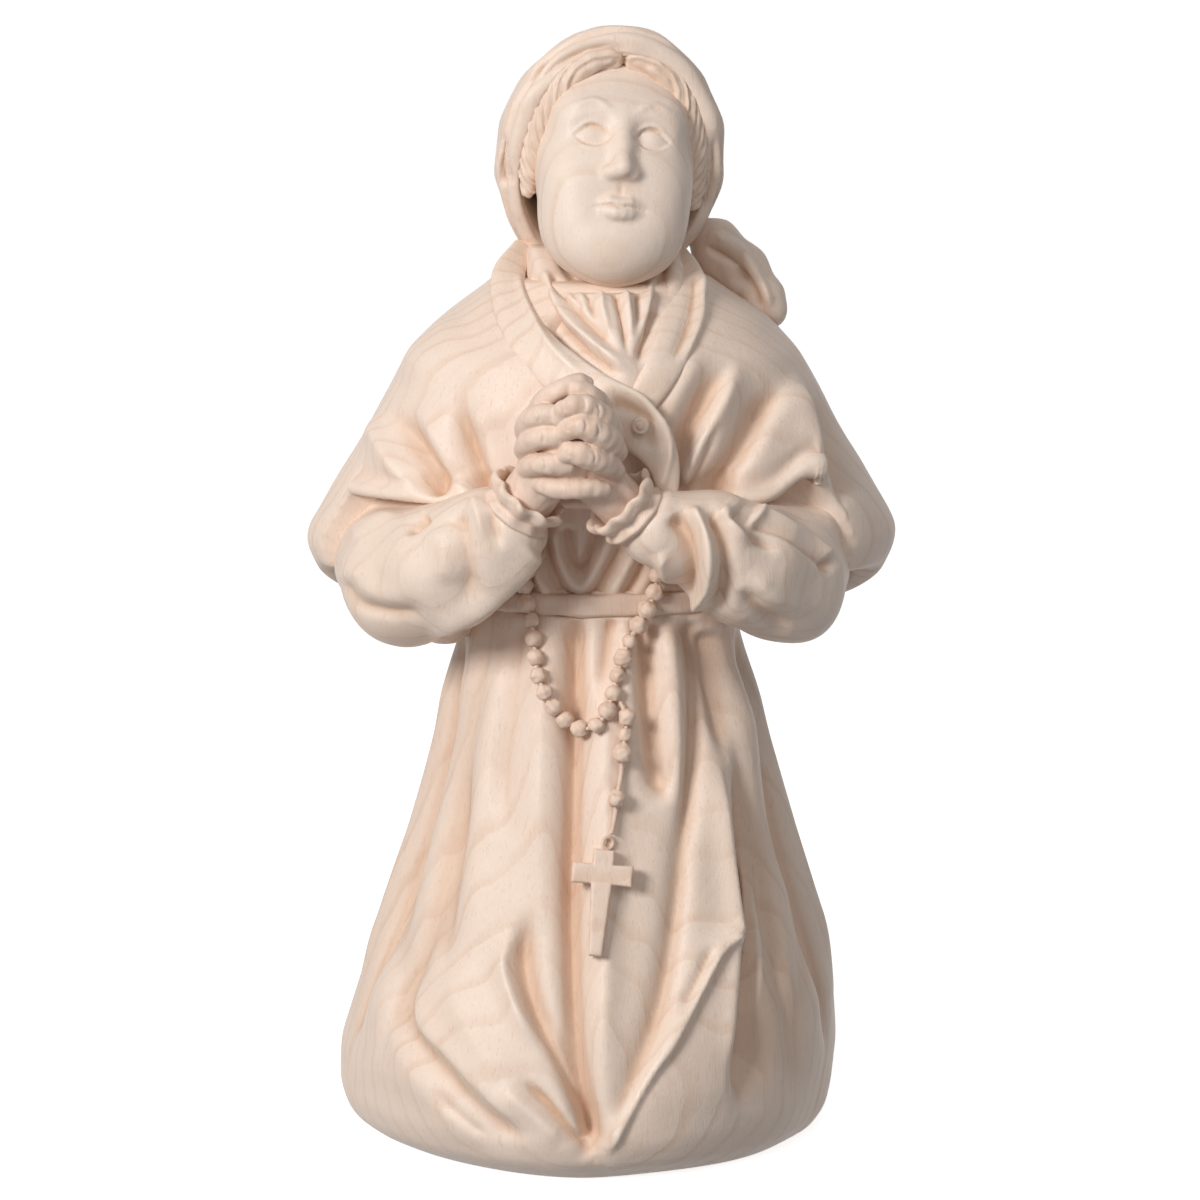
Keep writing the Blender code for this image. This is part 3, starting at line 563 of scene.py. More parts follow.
# ---------------------------------------------------------------- skirt
SKIRT_ROWS = (
    (0.0, -1.5, 9.0, 49.4, -41.0, 67.5),
    (4.0, -3.0, 9.0, 54.2, -48.4, 70.6),
    (9.7, -3.2, 9.0, 55.6, -51.2, 72.0),
    (19.4, -2.5, 9.0, 55.7, -50.5, 69.0),
    (32.7, -0.9, 8.0, 53.3, -47.0, 60.0),
    (48.4, 0.5, 6.0, 48.7, -42.0, 49.6),
    (69.0, 0.5, 4.0, 41.8, -36.2, 41.6),
    (90.8, 0.4, 3.0, 35.8, -30.6, 36.0),
    (108.9, 0.0, 2.0, 32.0, -26.0, 31.0),
    (121.0, 0.0, 1.0, 29.4, -23.0, 25.2),
)
g = Grid((-61, -60, 0), (56, 65.5, SKIRT_TOP), 0.62)
field = lofted(g, SKIRT_ROWS, 7.0, 1.78 + 0.47 * ramp(g.z, 4.0, 40.0))
field = within(field, -g.z, 1.6)
field = within(field, g.z - SKIRT_TOP, 0.5)
skirt = g.skin(field).outward().smooth(2)
skirt.waver(0.28, 34.0, 3)
skirt.carve([
    # deep folds of the front, left to right
    (-1.6, 3.0, 3.0, [(-24.5, 113), (-27, 97), (-31.5, 74), (-34.5, 48), (-34, 26)], 0.1, 0.2),
    (-1.4, 2.6, 2.6, [(-17.5, 113), (-19.5, 96), (-21.5, 78), (-21, 62)], 0.1, 0.35),
    (-1.3, 3.2, 3.2, [(-32, 100), (-37, 82), (-42.3, 60), (-44.5, 38), (-43, 22)], 0.2, 0.25),
    (1.3, 4.2, 4.2, [(-12, 113), (-12.6, 92), (-13.5, 70), (-13, 52)], 0.15, 0.4),
    (1.2, 3.8, 3.8, [(-22, 112), (-25.5, 84), (-28, 60), (-28.5, 34)], 0.2, 0.3),
    (
        -4.6, 2.7, 2.5,
        [(-5.8, 113), (-5.6, 95), (-6.2, 72.8), (-6.5, 50.5), (-6, 28.2), (-4.5, 10.4), (-0.9, -7)], 0.04, 0.05
    ),
    (2.0, 3.6, 3.4, [(1.2, 108), (1.6, 84), (1.8, 60), (1.6, 38), (1.0, 18), (2.0, 2)], 0.2, 0.25),
    (-1.8, 2.0, 2.0, [(2.7, 114), (1.2, 104), (-0.4, 93)], 0.1, 0.5),
    (1.5, 2.8, 2.8, [(6.4, 112), (7.2, 94), (8.4, 76)], 0.1, 0.4),
    (-3.6, 2.9, 2.6, [(10, 113), (11.0, 92), (13.2, 78), (15.1, 71.5)], 0.05, 0.18),
    (1.8, 3.0, 3.0, [(15.4, 112), (16.8, 92), (18.6, 70), (20.4, 48)], 0.1, 0.4),
    (-3.4, 2.5, 2.3, [(20, 113), (21.6, 96), (20.4, 76), (18.5, 58)], 0.05, 0.3),
    (-3.2, 2.0, 3.4, [(23.9, 111), (26.2, 94), (28.6, 80)], 0.08, 0.4),
    (-2.6, 3.2, 2.4, [(20.0, 84), (19.1, 66.8), (16.9, 46), (13.7, 28), (8.9, 13.1), (2.4, -1.8)], 0.3, 0.1),
    (2.0, 3.0, 3.4, [(30, 104), (33.6, 84), (36.4, 62), (37.5, 40), (37.0, 20)], 0.2, 0.2),
    # the long hollow on the right, with a sharp peak on its inner edge
    (
        -5.6, 1.5, 7.0,
        [(30.0, 92), (32.2, 74), (33.6, 58), (33.6, 42), (32.6, 26), (31.4, 12), (30.6, 3)], 0.4, 0.16
    ),
    (2.4, 2.4, 1.0, [(26.2, 84), (28.2, 64), (30.4, 48), (31.2, 43)], 0.4, 0.02),
    (2.2, 3.6, 0.9, [(31.2, 43.2), (26.7, 38.6), (22.1, 29.8), (16.7, 19.2), (10.7, 10.5), (1.5, -6.5)], 0.04, 0.1),
    (-1.6, 1.4, 1.0, [(25.4, 41), (21.4, 32.2), (17.2, 24.2)], 0.2, 0.3),
    (1.2, 2.2, 0.9, [(31.2, 43), (31.0, 34), (30.0, 24), (28.6, 12)], 0.05, 0.3),
    (-1.5, 2.6, 3.0, [(44.5, 56), (46.3, 38), (45.4, 20), (42, 4)], 0.3, 0.2),
    # the V folds on the left
    (
        -3.6, 1.6, 3.6,
        [(-15.2, 48.0), (-18.0, 38.0), (-15.4, 26.5), (-10.0, 16), (-5.2, 6), (-0.9, -5.5)], 0.2, 0.08
    ),
    (1.6, 2.6, 1.0, [(-18.6, 44), (-21.0, 36.5), (-18.4, 27.5), (-13.4, 18)], 0.3, 0.3),
    (1.0, 1.0, 1.4, [(-13.0, 24), (-8.6, 15), (-4.2, 6)], 0.3, 0.2),
    (-2.3, 2.0, 1.2, [(-18.5, 11), (-13, 6.5), (-8.9, 1.5), (-1.5, -7.2)], 0.3, 0.1),
    (1.4, 2.6, 1.4, [(-22, 10), (-15, 3.4), (-8, -3.5)], 0.3, 0.2),
    # the long soft sweep at the lower left
    (-1.6, 3.4, 2.0, [(-44.6, 34), (-42.0, 22.0), (-35.4, 13.4), (-27.0, 4.4), (-16.5, -3.6)], 0.3, 0.15),
    (1.7, 1.6, 3.4, [(-41.0, 36), (-39.6, 23.4), (-33.6, 16.6), (-25.2, 7.6), (-15.0, -1.5)], 0.3, 0.2),
    (-1.0, 1.0, 1.0, [(-37.3, 8.9), (-31.0, 2.6), (-24.0, -3.4)], 0.4, 0.3),
    (1.5, 4.2, 4.2, [(-47.5, 40), (-46.5, 22), (-37.5, 7), (-24, -3)], 0.3, 0.2),
    (1.4, 4.6, 4.6, [(-34, 46), (-32.4, 28), (-25, 15), (-14, 4)], 0.3, 0.3),
])
SIDE_FOLDS = [
    (-2.6, 3.2, 2.8, [(-12, 112), (-14, 90), (-17, 62), (-18.5, 36), (-16, 10)], 0.1, 0.15),
    (1.6, 4.0, 4.0, [(-6, 110), (-7, 84), (-8, 52), (-7, 20)], 0.2, 0.2),
    (-3.0, 3.0, 3.4, [(2, 113), (4, 88), (7.5, 60), (10, 34), (12, 12)], 0.1, 0.15),
    (1.8, 4.0, 4.4, [(9, 110), (13, 84), (19, 56), (23, 26)], 0.2, 0.2),
    (-2.6, 2.8, 3.0, [(15, 112), (20, 88), (28, 62), (36, 36), (42, 14)], 0.1, 0.2),
    (-2.2, 3.4, 3.0, [(-26, 88), (-31, 60), (-35, 34), (-33, 12)], 0.3, 0.2),
    (-2.0, 3.0, 2.6, [(24, 60), (27, 38), (29, 18)], 0.35, 0.3),
]
skirt.carve(SIDE_FOLDS, (90.0, 6.0), (0.15, 0.55))
skirt.carve(
    [(h, r, l, [(-x, v) for x, v in route], *fades) for h, l, r, route, *fades in SIDE_FOLDS], (270.0, 6.0),
    (0.15, 0.55)
)
skirt.carve([
    (-3.2, 3.2, 3.2, [(-2, 112), (-3, 88), (-2, 58), (1, 30), (2, 8)], 0.06, 0.1),
    (2.0, 4.4, 4.4, [(6, 112), (7.5, 82), (9, 48), (10, 14)], 0.2, 0.2),
    (-3.0, 3.0, 3.4, [(13, 112), (17, 84), (21, 56), (23, 26), (24, 8)], 0.1, 0.15),
    (-2.6, 3.0, 3.0, [(-12, 112), (-15, 86), (-19, 58), (-20, 28), (-17, 6)], 0.1, 0.15),
    (1.8, 4.0, 4.0, [(-8, 108), (-9, 78), (-11, 44), (-9, 14)], 0.2, 0.2),
    (-2.2, 3.2, 2.8, [(-24, 98), (-31, 70), (-37, 40), (-38, 14)], 0.2, 0.2),
    (-2.4, 2.8, 3.2, [(25, 100), (32, 72), (38, 42), (40, 16)], 0.2, 0.2),
], (180.0, 6.0), (0.15, 0.55))
for line in GLUE_LINES:
    skirt.push(-0.22 * bell(skirt.points[:, 1] - line, GLUE_LINE_WIDTH))
skirt.smooth(1, 0.4)
skirt.points[:, 2] = np.clip(skirt.points[:, 2], 0.0, SKIRT_TOP)
skirt.make("skirt", skirt_wood, "skirt_wood", "skirt_front_board", "skirt_middle_board", "skirt_back_board")

# ---------------------------------------------------------------- waistband and bodice
band_rows = [(z, 0.0, 1.0, 30.6, -24.2, 26.4) for z in (BAND_LOW - 4, BAND_HIGH + 4)]
g = Grid((-32, -33.5, BAND_LOW - 0.5), (32, 20, BAND_HIGH + 0.5), 0.4)
field = lofted(g, band_rows, 3.0, 2.1)
field = within(field, BAND_LOW - 0.5 - g.z, 1.2)
field = within(field, g.z - BAND_HIGH - 0.5, 1.2)
band = g.skin(field).outward().smooth(2).waver(0.26, 11.0, 5)
band.make("waistband_piece", waistband_wood, "waistband_wood", "waistband")

BODICE_ROWS = (
    (0.0, 0.0, 1.0, 28.4, -22.6, 24.0),
    (14.5, 0.0, 1.0, 30.6, -24.6, 24.6),
    (29.5, 0.0, 1.0, 31.4, -25.4, 25.0),
    (42.5, 0.0, 1.0, 28.6, -23.6, 23.6),
    (52.5, 0.0, 2.0, 18.8, -17.8, 18.8),
    (57.5, 0.0, 2.5, 12.0, -12.0, 15.0),
)
g = Grid((-33, -35, CHEST), (33, 19, NECK_BASE), 0.6)
field = lofted(g, [(z + CHEST, *rest) for z, *rest in BODICE_ROWS], 6.0, 2.1)
field = within(field, CHEST - 0.2 - g.z, 0.4)
field = within(field, g.z - NECK_BASE, 1.0)
bodice = g.skin(field).outward().smooth(2)
bodice.carve([
    # one fold hangs in a loop from the wrists, with others running into it
    (
        -1.6, 1.7, 1.7,
        [(-12.6, 132), (-11.4, 125), (-8.4, 118.8), (-3.8, 116.4), (-0.4, 119.4), (2.2, 124), (5.6, 131)],
        0.1, 0.1
    ),
    (1.4, 1.8, 1.8, [(-10.4, 134), (-8.8, 126), (-5.8, 120.8), (-3.0, 120.8), (0.2, 126), (3.2, 133)], 0.1, 0.1),
    (-1.5, 1.7, 1.7, [(-7.8, 134), (-6.6, 127.5), (-4.8, 125.0), (-2.6, 127.5), (-0.8, 134)], 0.1, 0.1),
    (1.2, 1.5, 1.7, [(8.6, 132), (5.8, 124.6), (1.6, 117.6)], 0.1, 0.2),
    (-1.4, 1.3, 1.3, [(11.6, 130), (8.6, 122.4), (5.0, 117.0)], 0.1, 0.2),
    (1.1, 1.7, 1.5, [(-15.6, 130), (-13.8, 122.4), (-10.4, 117.2)], 0.1, 0.2),
    (-1.1, 1.4, 1.4, [(-18.6, 128), (-17.4, 122), (-15.0, 117.4)], 0.1, 0.2),
    (-1.0, 1.4, 1.4, [(15.4, 126), (13.0, 121), (10.2, 117.0)], 0.1, 0.2),
])
bodice.waver(0.15, 12.0, 9)
bodice.make("bodice_piece", bodice_wood, "bodice_wood", "bodice")

# ---------------------------------------------------------------- cape
CAPE_ROWS = (
    (-8.0, 0.0, 8.0, 55.6, -21.6, 33.6),
    (-1.0, 0.0, 7.0, 61.6, -26.6, 35.6),
    (7.0, 0.0, 6.0, 65.0, -28.6, 36.6),
    (11.0, 0.4, 5.6, 65.0, -29.4, 36.4),
    (15.4, 0.8, 5.0, 62.6, -30.2, 36.2),
    (31.0, 0.9, 3.0, 53.5, -31.2, 33.8),
    (41.0, 0.9, 2.0, 48.2, -30.4, 31.5),
    (51.0, 0.8, 2.0, 42.8, -27.8, 28.8),
    (58.3, 0.8, 2.5, 35.4, -23.0, 25.8),
    (67.0, 0.4, 4.0, 23.0, -15.0, 21.0),
)
cape_rows = [(z + CHEST, *rest) for z, *rest in CAPE_ROWS]


def cape_hem(x, y):
    """Height of the hem: low behind, rising to a point at each side, then a step up to the front sheet."""
    forward = SPINE - y
    behind = CHEST - 7.6 + 10.5 * ramp(forward, -20.0, 2.0)
    turn = np.where(x < 0, 6.5, 13.5)
    arch = np.where(x > 0, 5.6 * bell(x - 45.0, 6.0), 0.0)
    return behind + (CHEST + 20.0 + arch - behind) * ramp(forward, turn - 2.2, turn + 2.2)


g = Grid((-66, -41, CHEST - 9), (66.5, 31, CHEST + 67.5), 0.6)
outer = lofted(g, cape_rows, 7.0, 2.05)
inner = lofted(g, [(z, s, m, w - 7.0, f + 8.0, b - 4.4) for z, s, m, w, f, b in cape_rows], 7.0, 2.05)
inner = within(inner, g.z - (CHEST + 30), 3.0)
field = without(outer, inner, 1.2)
field = within(field, cape_hem(g.x, g.y) - g.z, 1.4)
field = within(field, g.z - (CHEST + 67), 1.5)
opening = ellipsoid(g, (2.0, SPINE - 31, CHEST + 62), (19.0, 15.0, 21.0))
field = without(field, opening, 1.5)
cape = g.skin(field).outward().smooth(2)
p = cape.points
above = p[:, 2] - cape_hem(p[:, 0], p[:, 1])
outside = ramp(cape.normals() @ np.array((0.0, -0.2, 0.25)) + np.abs(cape.normals()[:, 0]) * 0.5, -0.05, 0.12)
front_sheet = ramp(SPINE - p[:, 1], np.where(p[:, 0] < 0, 5.5, 12.5), np.where(p[:, 0] < 0, 9.5, 16.5))
roll = 1.1 * bell(above - 1.6, 1.6) - 0.6 * bell(above - 5.2, 2.0)
cape.push(outside * front_sheet * roll)
cape.waver(0.22, 26.0, 11)
cape.carve([
    # viewer's left wing
    (-4.2, 2.6, 4.4, [(-46.6, 161), (-43.4, 155.4), (-39.0, 148.6), (-34.2, 141)], 0.5, 0.1),
    (-3.8, 2.0, 3.6, [(-31.8, 164), (-30.2, 155.6), (-27.6, 148), (-24.4, 140)], 0.5, 0.1),
    (2.2, 3.0, 2.2, [(-51.6, 160), (-49.4, 153.6), (-46.2, 148.2), (-40.0, 141)], 0.3, 0.2),
    (2.4, 2.4, 2.8, [(-41.3, 161), (-37.0, 152.2), (-32.4, 144.4), (-28.4, 138.5)], 0.35, 0.1),
    (2.0, 2.4, 3.4, [(-28.2, 162), (-25.4, 151), (-22.6, 142)], 0.3, 0.2),
    (1.4, 5.0, 5.0, [(-30, 180), (-37, 174), (-45, 165)], 0.3, 0.35),
    # viewer's right wing
    (-4.2, 3.8, 2.2, [(29.4, 170.5), (24.0, 161), (19.4, 152), (15.6, 144.6), (12.6, 138)], 0.35, 0.1),
    (-4.0, 4.2, 1.8, [(41.4, 166.6), (36.8, 158.6), (32.4, 150.4), (27.4, 142.6), (24.4, 138)], 0.3, 0.1),
    (2.6, 1.8, 2.8, [(31.4, 171), (27.4, 163), (22.8, 154), (17.6, 142)], 0.3, 0.1),
    (-1.4, 1.4, 1.2, [(27.0, 158), (22.6, 148), (18.6, 140)], 0.4, 0.1),
    (2.8, 4.0, 1.2, [(42.8, 168), (46.0, 158.5), (48.0, 150), (49.4, 143), (51.0, 138)], 0.25, 0.3),
    (-2.0, 1.2, 4.4, [(45.4, 166), (49.6, 157), (51.8, 148), (54.6, 138)], 0.3, 0.2),
    (1.4, 3.2, 3.2, [(23.0, 174), (17.5, 163), (12.0, 152)], 0.3, 0.3),
], where=1 - ramp(cape.points[:, 1], SPINE + 5, SPINE + 9))
cape.carve([
    (-2.2, 3.4, 3.4, [(-3, 176), (-5, 158), (-8, 138), (-10, 120)], 0.3, 0.1),
    (1.8, 4.2, 4.2, [(4, 176), (5, 156), (6, 136), (6, 120)], 0.3, 0.1),
    (-2.6, 3.4, 3.4, [(12, 176), (17, 158), (24, 138), (29, 120)], 0.3, 0.1),
    (-2.4, 3.2, 3.2, [(-16, 174), (-23, 156), (-31, 138), (-37, 121)], 0.3, 0.1),
    (1.6, 4.2, 4.2, [(-12, 172), (-16, 152), (-21, 132), (-24, 119)], 0.3, 0.1),
    (-2.2, 3.2, 3.2, [(28, 168), (37, 152), (45, 138), (50, 124)], 0.3, 0.1),
], (180.0, 8.0), (0.1, 0.5), where=ramp(cape.points[:, 1], SPINE + 6, SPINE + 10))
cape.push(-0.2 * bell(cape.points[:, 1] - CAPE_GLUE_LINE, GLUE_LINE_WIDTH))
cape.smooth(1, 0.4)
cape.make("cape", cape_wood, "cape_wood", "cape_front_board", "cape_back_board")

# ---------------------------------------------------------------- sleeves
SLEEVE_ROUTES = {
    "right": (
        (-46.6, 4.0, 9.6), (-45.4, -6.0, 4.2), (-41.6, -16.0, 3.2), (-33.0, -26.5, 7.2), (-25.0, -32.5, 13.2),
        (-19.6, -35.8, 17.6)
    ),
    "left": (
        (45.0, 4.0, 10.0), (41.8, -6.0, 4.8), (38.8, -16.0, 3.8), (31.6, -26.5, 7.8), (24.0, -32.5, 13.2),
        (12.6, -36.4, 17.0)
    ),
}
SLEEVE_RADII = {"right": (9.0, 12.0, 14.2, 13.0, 10.8, 8.9), "left": (9.0, 12.4, 13.8, 12.4, 10.4, 8.4)}
WRISTS = {
    "right": ((-17.5, -37.5, 21.0), (-9.0, -41.5, 33.0)),
    "left": ((7.0, -37.5, 20.0), (-5.5, -41.5, 33.0)),
}


def from_chest(x, y, z):
    return np.array((x, SPINE + y, CHEST + z))


for side, sign in (("right", -1), ("left", 1)):
    low = (-62, -54, CHEST - 12) if sign < 0 else (3, -54, CHEST - 12)
    high = (-9, 10, CHEST + 52) if sign < 0 else (62, 10, CHEST + 52)
    g = Grid(low, high, 0.42)
    route = [from_chest(*station) for station in SLEEVE_ROUTES[side]]
    field = chain(g, route, SLEEVE_RADII[side], 4.0)
    hanging = capsule(g, from_chest(sign * 44, -17, -2.6), from_chest(sign * 27, -31.0, 4.5), 7.4, 6.4)
    field = merge(field, hanging, 5.0)
    under_hem = capsule(g, from_chest(sign * 47, 0, 17), from_chest(sign * 33, -12, 19), 7.0, 8.0)
    field = merge(field, under_hem, 4.0)
    if side == "right":
        field = merge(field, capsule(g, from_chest(-43, -3, -3.5), from_chest(-34, -8, -6.5), 7.5, 7.0), 2.0)
    upper_arm = capsule(g, from_chest(sign * 43, 2, 13), from_chest(sign * 32, 3, 36), 9.0, 6.0)
    field = merge(field, upper_arm, 5.0)
    if side == "left":
        field = merge(field, capsule(g, from_chest(36, -22, 14.5), from_chest(46.5, -13, 12.5), 5.0, 5.6), 2.0)
    wrist_way = np.array(WRISTS[side][1]) - np.array(WRISTS[side][0])
    wrist_way = wrist_way / np.linalg.norm(wrist_way)
    start = from_chest(*WRISTS[side][0])
    beyond = (g.x - start[0]) * wrist_way[0] + (g.y - start[1]) * wrist_way[1] + (g.z - start[2]) * wrist_way[2]
    field = within(field, beyond + 0.6, 1.4)
    sleeve = g.skin(field).outward().smooth(2)
    if side == "right":
        sleeve.carve([
            (
                2.2, 1.3, 2.6, [(-38.5, 109.8), (-31, 112.6), (-25.8, 115.7), (-19.1, 121.5), (-13.8, 128.2)],
                0.2, 0.05
            ),
            (
                -1.7, 1.3, 2.6,
                [(-57.6, 123), (-56.0, 118.8), (-53.0, 115.8), (-48.0, 114.4), (-42.3, 113.8), (-37.4, 112.2)],
                0.15, 0.25
            ),
            (0.9, 2.4, 2.8, [(-55.0, 126), (-53.4, 121), (-48.6, 118), (-41.0, 117)], 0.2, 0.3),
            (-1.8, 2.6, 3.2, [(-31.8, 137), (-30.2, 129), (-29.0, 121.5), (-30.3, 115.2)], 0.1, 0.3),
            (1.0, 3.0, 3.0, [(-36.4, 134), (-35.2, 128), (-34.8, 120)], 0.2, 0.3),
            (-2.2, 1.2, 1.2, [(-43.6, 131.6), (-41.4, 134.0), (-38.4, 136.4)], 0.4, 0.1),
            (1.2, 1.6, 1.4, [(-55.4, 129), (-53.4, 133.4), (-49, 135.6), (-43.4, 136.2)], 0.3, 0.3),
            (1.7, 1.9, 1.5, [(-27.8, 140), (-26.6, 134.4), (-25.8, 129)], 0.1, 0.6),
            (-1.3, 1.2, 1.4, [(-24.4, 137.4), (-23.2, 132), (-21.4, 128)], 0.2, 0.5),
        ], facing=(0.0, 0.25))
    else:
        sleeve.carve([
            (2.4, 1.6, 1.6, [(19.6, 138), (23.0, 133), (24.3, 127.1), (23.8, 120), (20.7, 114.4)], 0.1, 0.1),
            (-3.0, 2.4, 1.4, [(17.2, 137), (20.2, 131), (20.8, 124), (19.0, 117.5)], 0.12, 0.15),
            (-3.0, 1.4, 2.4, [(24.5, 137), (27.4, 129), (27.4, 121), (24.6, 114)], 0.12, 0.15),
            (2.2, 1.6, 2.2, [(26.3, 137.3), (30.4, 133.6), (34.5, 129.6)], 0.1, 0.4),
            (-2.8, 1.4, 2.6, [(29.0, 137), (34.0, 132), (40.0, 127.2)], 0.1, 0.5),
            (3.0, 3.4, 1.0, [(34.4, 137.6), (40.6, 134.6), (46.4, 131.0), (51.6, 127.0)], 0.08, 0.08),
            (-2.4, 1.0, 3.0, [(34.0, 134.8), (41.0, 131.6), (47.0, 127.4), (52.0, 123.0)], 0.1, 0.15),
            (-2.0, 2.0, 2.0, [(31, 120), (36, 114), (43, 111)], 0.3, 0.3),
            (1.4, 2.4, 2.4, [(33, 124), (39, 118), (47, 115)], 0.3, 0.3),
            (1.8, 1.6, 1.6, [(13.0, 128), (16.0, 121), (20, 115)], 0.15, 0.2),
        ], facing=(0.0, 0.25))
    sleeve.waver(0.14, 15.0, 21 + sign)
    sleeve.smooth(1, 0.4)
    sleeve.make(f"{side}_sleeve_piece", sleeve_wood, "sleeve_wood", f"{side}_sleeve")

# ---------------------------------------------------------------- cuffs, a frill round each wrist
CUFF_BORE = 5.35
for side, wrist in WRISTS.items():
    start, end = from_chest(*wrist[0]), from_chest(*wrist[1])
    along = (end - start) / np.linalg.norm(end - start)
    wide = np.cross(along, (0.0, 1.0, 0.0))
    wide /= np.linalg.norm(wide)
    deep = np.cross(along, wide)
    profile = [
        (CUFF_BORE, -2.2), (6.2, -2.7), (7.2, -2.4), (7.9, -1.4), (7.3, -0.4), (7.1, 0.4), (7.9, 1.4), (8.5, 2.6),
        (8.6, 3.5), (8.1, 4.1), (7.3, 3.7), (6.5, 2.2), (5.8, 0.8), (CUFF_BORE, -0.6),
    ]
    closed = smooth_route([*profile, profile[0]], 61)[:-1]
    sides = 150
    angle = np.linspace(0, 2 * math.pi, sides, endpoint=False)
    phase = 0.4 if side == "right" else 1.7
    ruffle = np.sin(9 * angle + phase) + 0.35 * np.sin(5 * angle + 2 * phase)
    rings = []
    for radius, height in closed:
        loose = np.clip((radius - CUFF_BORE) / 3.0, 0, 1) * np.clip((height + 3.0) / 5.0, 0.15, 1)
        r = radius + 0.55 * loose * ruffle
        h = height + 1.0 + 0.35 * loose * np.cos(9 * angle + phase)
        rings.append(
            start + np.outer(r * np.cos(angle), wide) + np.outer(r * np.sin(angle), deep) + np.outer(h, along)
        )
    cuff = Carving(np.vstack(rings), tube_quads(len(rings), sides)).turned_out()
    cuff.make(f"{side}_cuff_piece", cuff_wood, "cuff_wood", f"{side}_cuff")

# ---------------------------------------------------------------- clasped hands
g = Grid((-24, -66, CHEST + 13), (12.5, -38, CHEST + 55), 0.3)


def hand_bar(*points, radii, blend=1.0):
    """A finger or a palm, through points given as (across, up, y) in the front drawing."""
    return chain(g, [seen(x, v, y) for x, v, y in points], radii, blend)


wrists = merge(
    capsule(g, from_chest(*WRISTS["right"][0]), from_chest(*WRISTS["right"][1]), 6.1, 5.7),
    capsule(g, from_chest(*WRISTS["left"][0]), from_chest(*WRISTS["left"][1]), 5.4, 5.6),
    1.0,
)
palms = merge(
    hand_bar((-12.4, 146.8, -49.0), (-12.6, 151.5, -49.2), (-10.6, 158.4, -48.0), radii=(5.2, 5.0, 4.2), blend=2.0),
    hand_bar((-1.4, 146.4, -49.0), (-1.6, 151.0, -49.2), (-3.8, 158.4, -48.0), radii=(5.2, 5.2, 4.2), blend=2.0),
    2.5,
)
core = hand_bar((-6.6, 147.4, -51.6), (-6.8, 152.0, -52.6), (-6.6, 159.4, -51.2), radii=(5.4, 5.6, 4.4), blend=2.0)
hands = merge(wrists, merge(palms, core, 2.0), 2.0)


def finger(*points, radii):
    """A bent finger, as one smooth bar."""
    return soft_chain(g, [seen(x, v, y) for x, v, y in points], radii, 9, 0.6)


# the figure's right hand: four fingers stacked at the viewer's left, and a fifth across the heel
stack = [
    finger(
        (-14.2, 159.6, -50.0), (-12.2, 162.0, -53.4), (-8.6, 164.2, -55.2), (-4.8, 165.8, -54.6),
        (-2.9, 165.6, -53.8), radii=(2.0, 2.1, 2.1, 1.9, 1.5)
    ),
    finger(
        (-17.0, 154.6, -50.2), (-15.8, 157.0, -54.2), (-13.2, 158.4, -56.8), (-9.6, 158.4, -57.6),
        radii=(2.0, 2.35, 2.35, 2.2)
    ),
    finger(
        (-17.2, 150.6, -50.2), (-15.4, 152.6, -54.8), (-12.2, 153.7, -57.4), (-8.6, 153.5, -57.8),
        radii=(2.0, 2.35, 2.35, 2.2)
    ),
    finger(
        (-16.4, 146.0, -50.2), (-14.4, 147.4, -54.8), (-11.2, 147.6, -57.2), (-7.0, 147.0, -57.0),
        radii=(2.0, 2.25, 2.25, 2.0)
    ),
]
heel = finger(
    (-13.6, 143.4, -52.4), (-10.4, 142.3, -55.2), (-5.9, 142.0, -56.6), (-1.6, 142.2, -56.2), (0.8, 141.8, -55.2),
    radii=(1.9, 2.1, 2.1, 1.9, 1.8)
)
# the left hand's fingers come from the viewer's right and lie over them
over = [
    finger(
        (0.8, 160.4, -52.0), (-1.4, 162.4, -55.2), (-4.4, 164.0, -56.4), (-5.4, 163.2, -56.2),
        radii=(2.0, 2.0, 1.9, 1.4)
    ),
    finger(
        (3.2, 153.8, -51.6), (1.7, 156.9, -55.6), (-1.2, 159.5, -58.2), (-4.8, 160.9, -59.6),
        (-8.2, 159.6, -59.4), (-9.4, 157.6, -58.6), radii=(2.1, 2.35, 2.35, 2.2, 1.9, 1.6)
    ),
    finger(
        (3.9, 150.2, -52.0), (1.8, 152.9, -56.6), (-1.4, 155.1, -59.0), (-5.0, 156.2, -60.0),
        (-8.3, 154.4, -59.0), radii=(2.2, 2.7, 2.8, 2.5, 1.9)
    ),
    finger(
        (3.4, 146.0, -52.0), (1.0, 147.8, -56.2), (-2.8, 149.3, -58.8), (-6.0, 150.2, -59.4),
        (-8.0, 149.4, -58.4), radii=(2.2, 2.5, 2.6, 2.3, 1.8)
    ),
]
for bent in (*stack, heel, *over):
    hands = merge(hands, bent, 0.3)
for tips in (((-6.0, 160.5, -48.6), (-5.0, 164.8, -50.8)), ((-9.4, 159.8, -47.6), (-8.0, 163.4, -49.4))):
    hands = merge(hands, hand_bar(*tips, radii=(2.6, 2.0)), 0.6)
clasp = g.skin(hands).outward().smooth(1)
clasp.carve([
    # knuckle creases, and the edges of the nails
    *[(-0.3, 0.35, 0.35, [(x, v + 1.9), (x + 0.6, v), (x + 0.2, v - 1.9)], 0.3, 0.3)
      for x, v in (
          (-0.6, 159.4), (-0.8, 155.0), (-1.6, 149.2), (-3.8, 160.8), (-3.6, 156.2), (-14.0, 158.2),
          (-13.2, 153.6), (-12.6, 147.6)
      )],
    *[(-0.35, 0.3, 0.3, [(x - 1.3, v + 1.2), (x - 2.0, v), (x - 1.3, v - 1.2)], 0.2, 0.2)
      for x, v in ((-6.4, 160.4), (-5.6, 155.8), (-5.4, 150.0))],
])
clasp.waver(0.08, 3.2, 51)
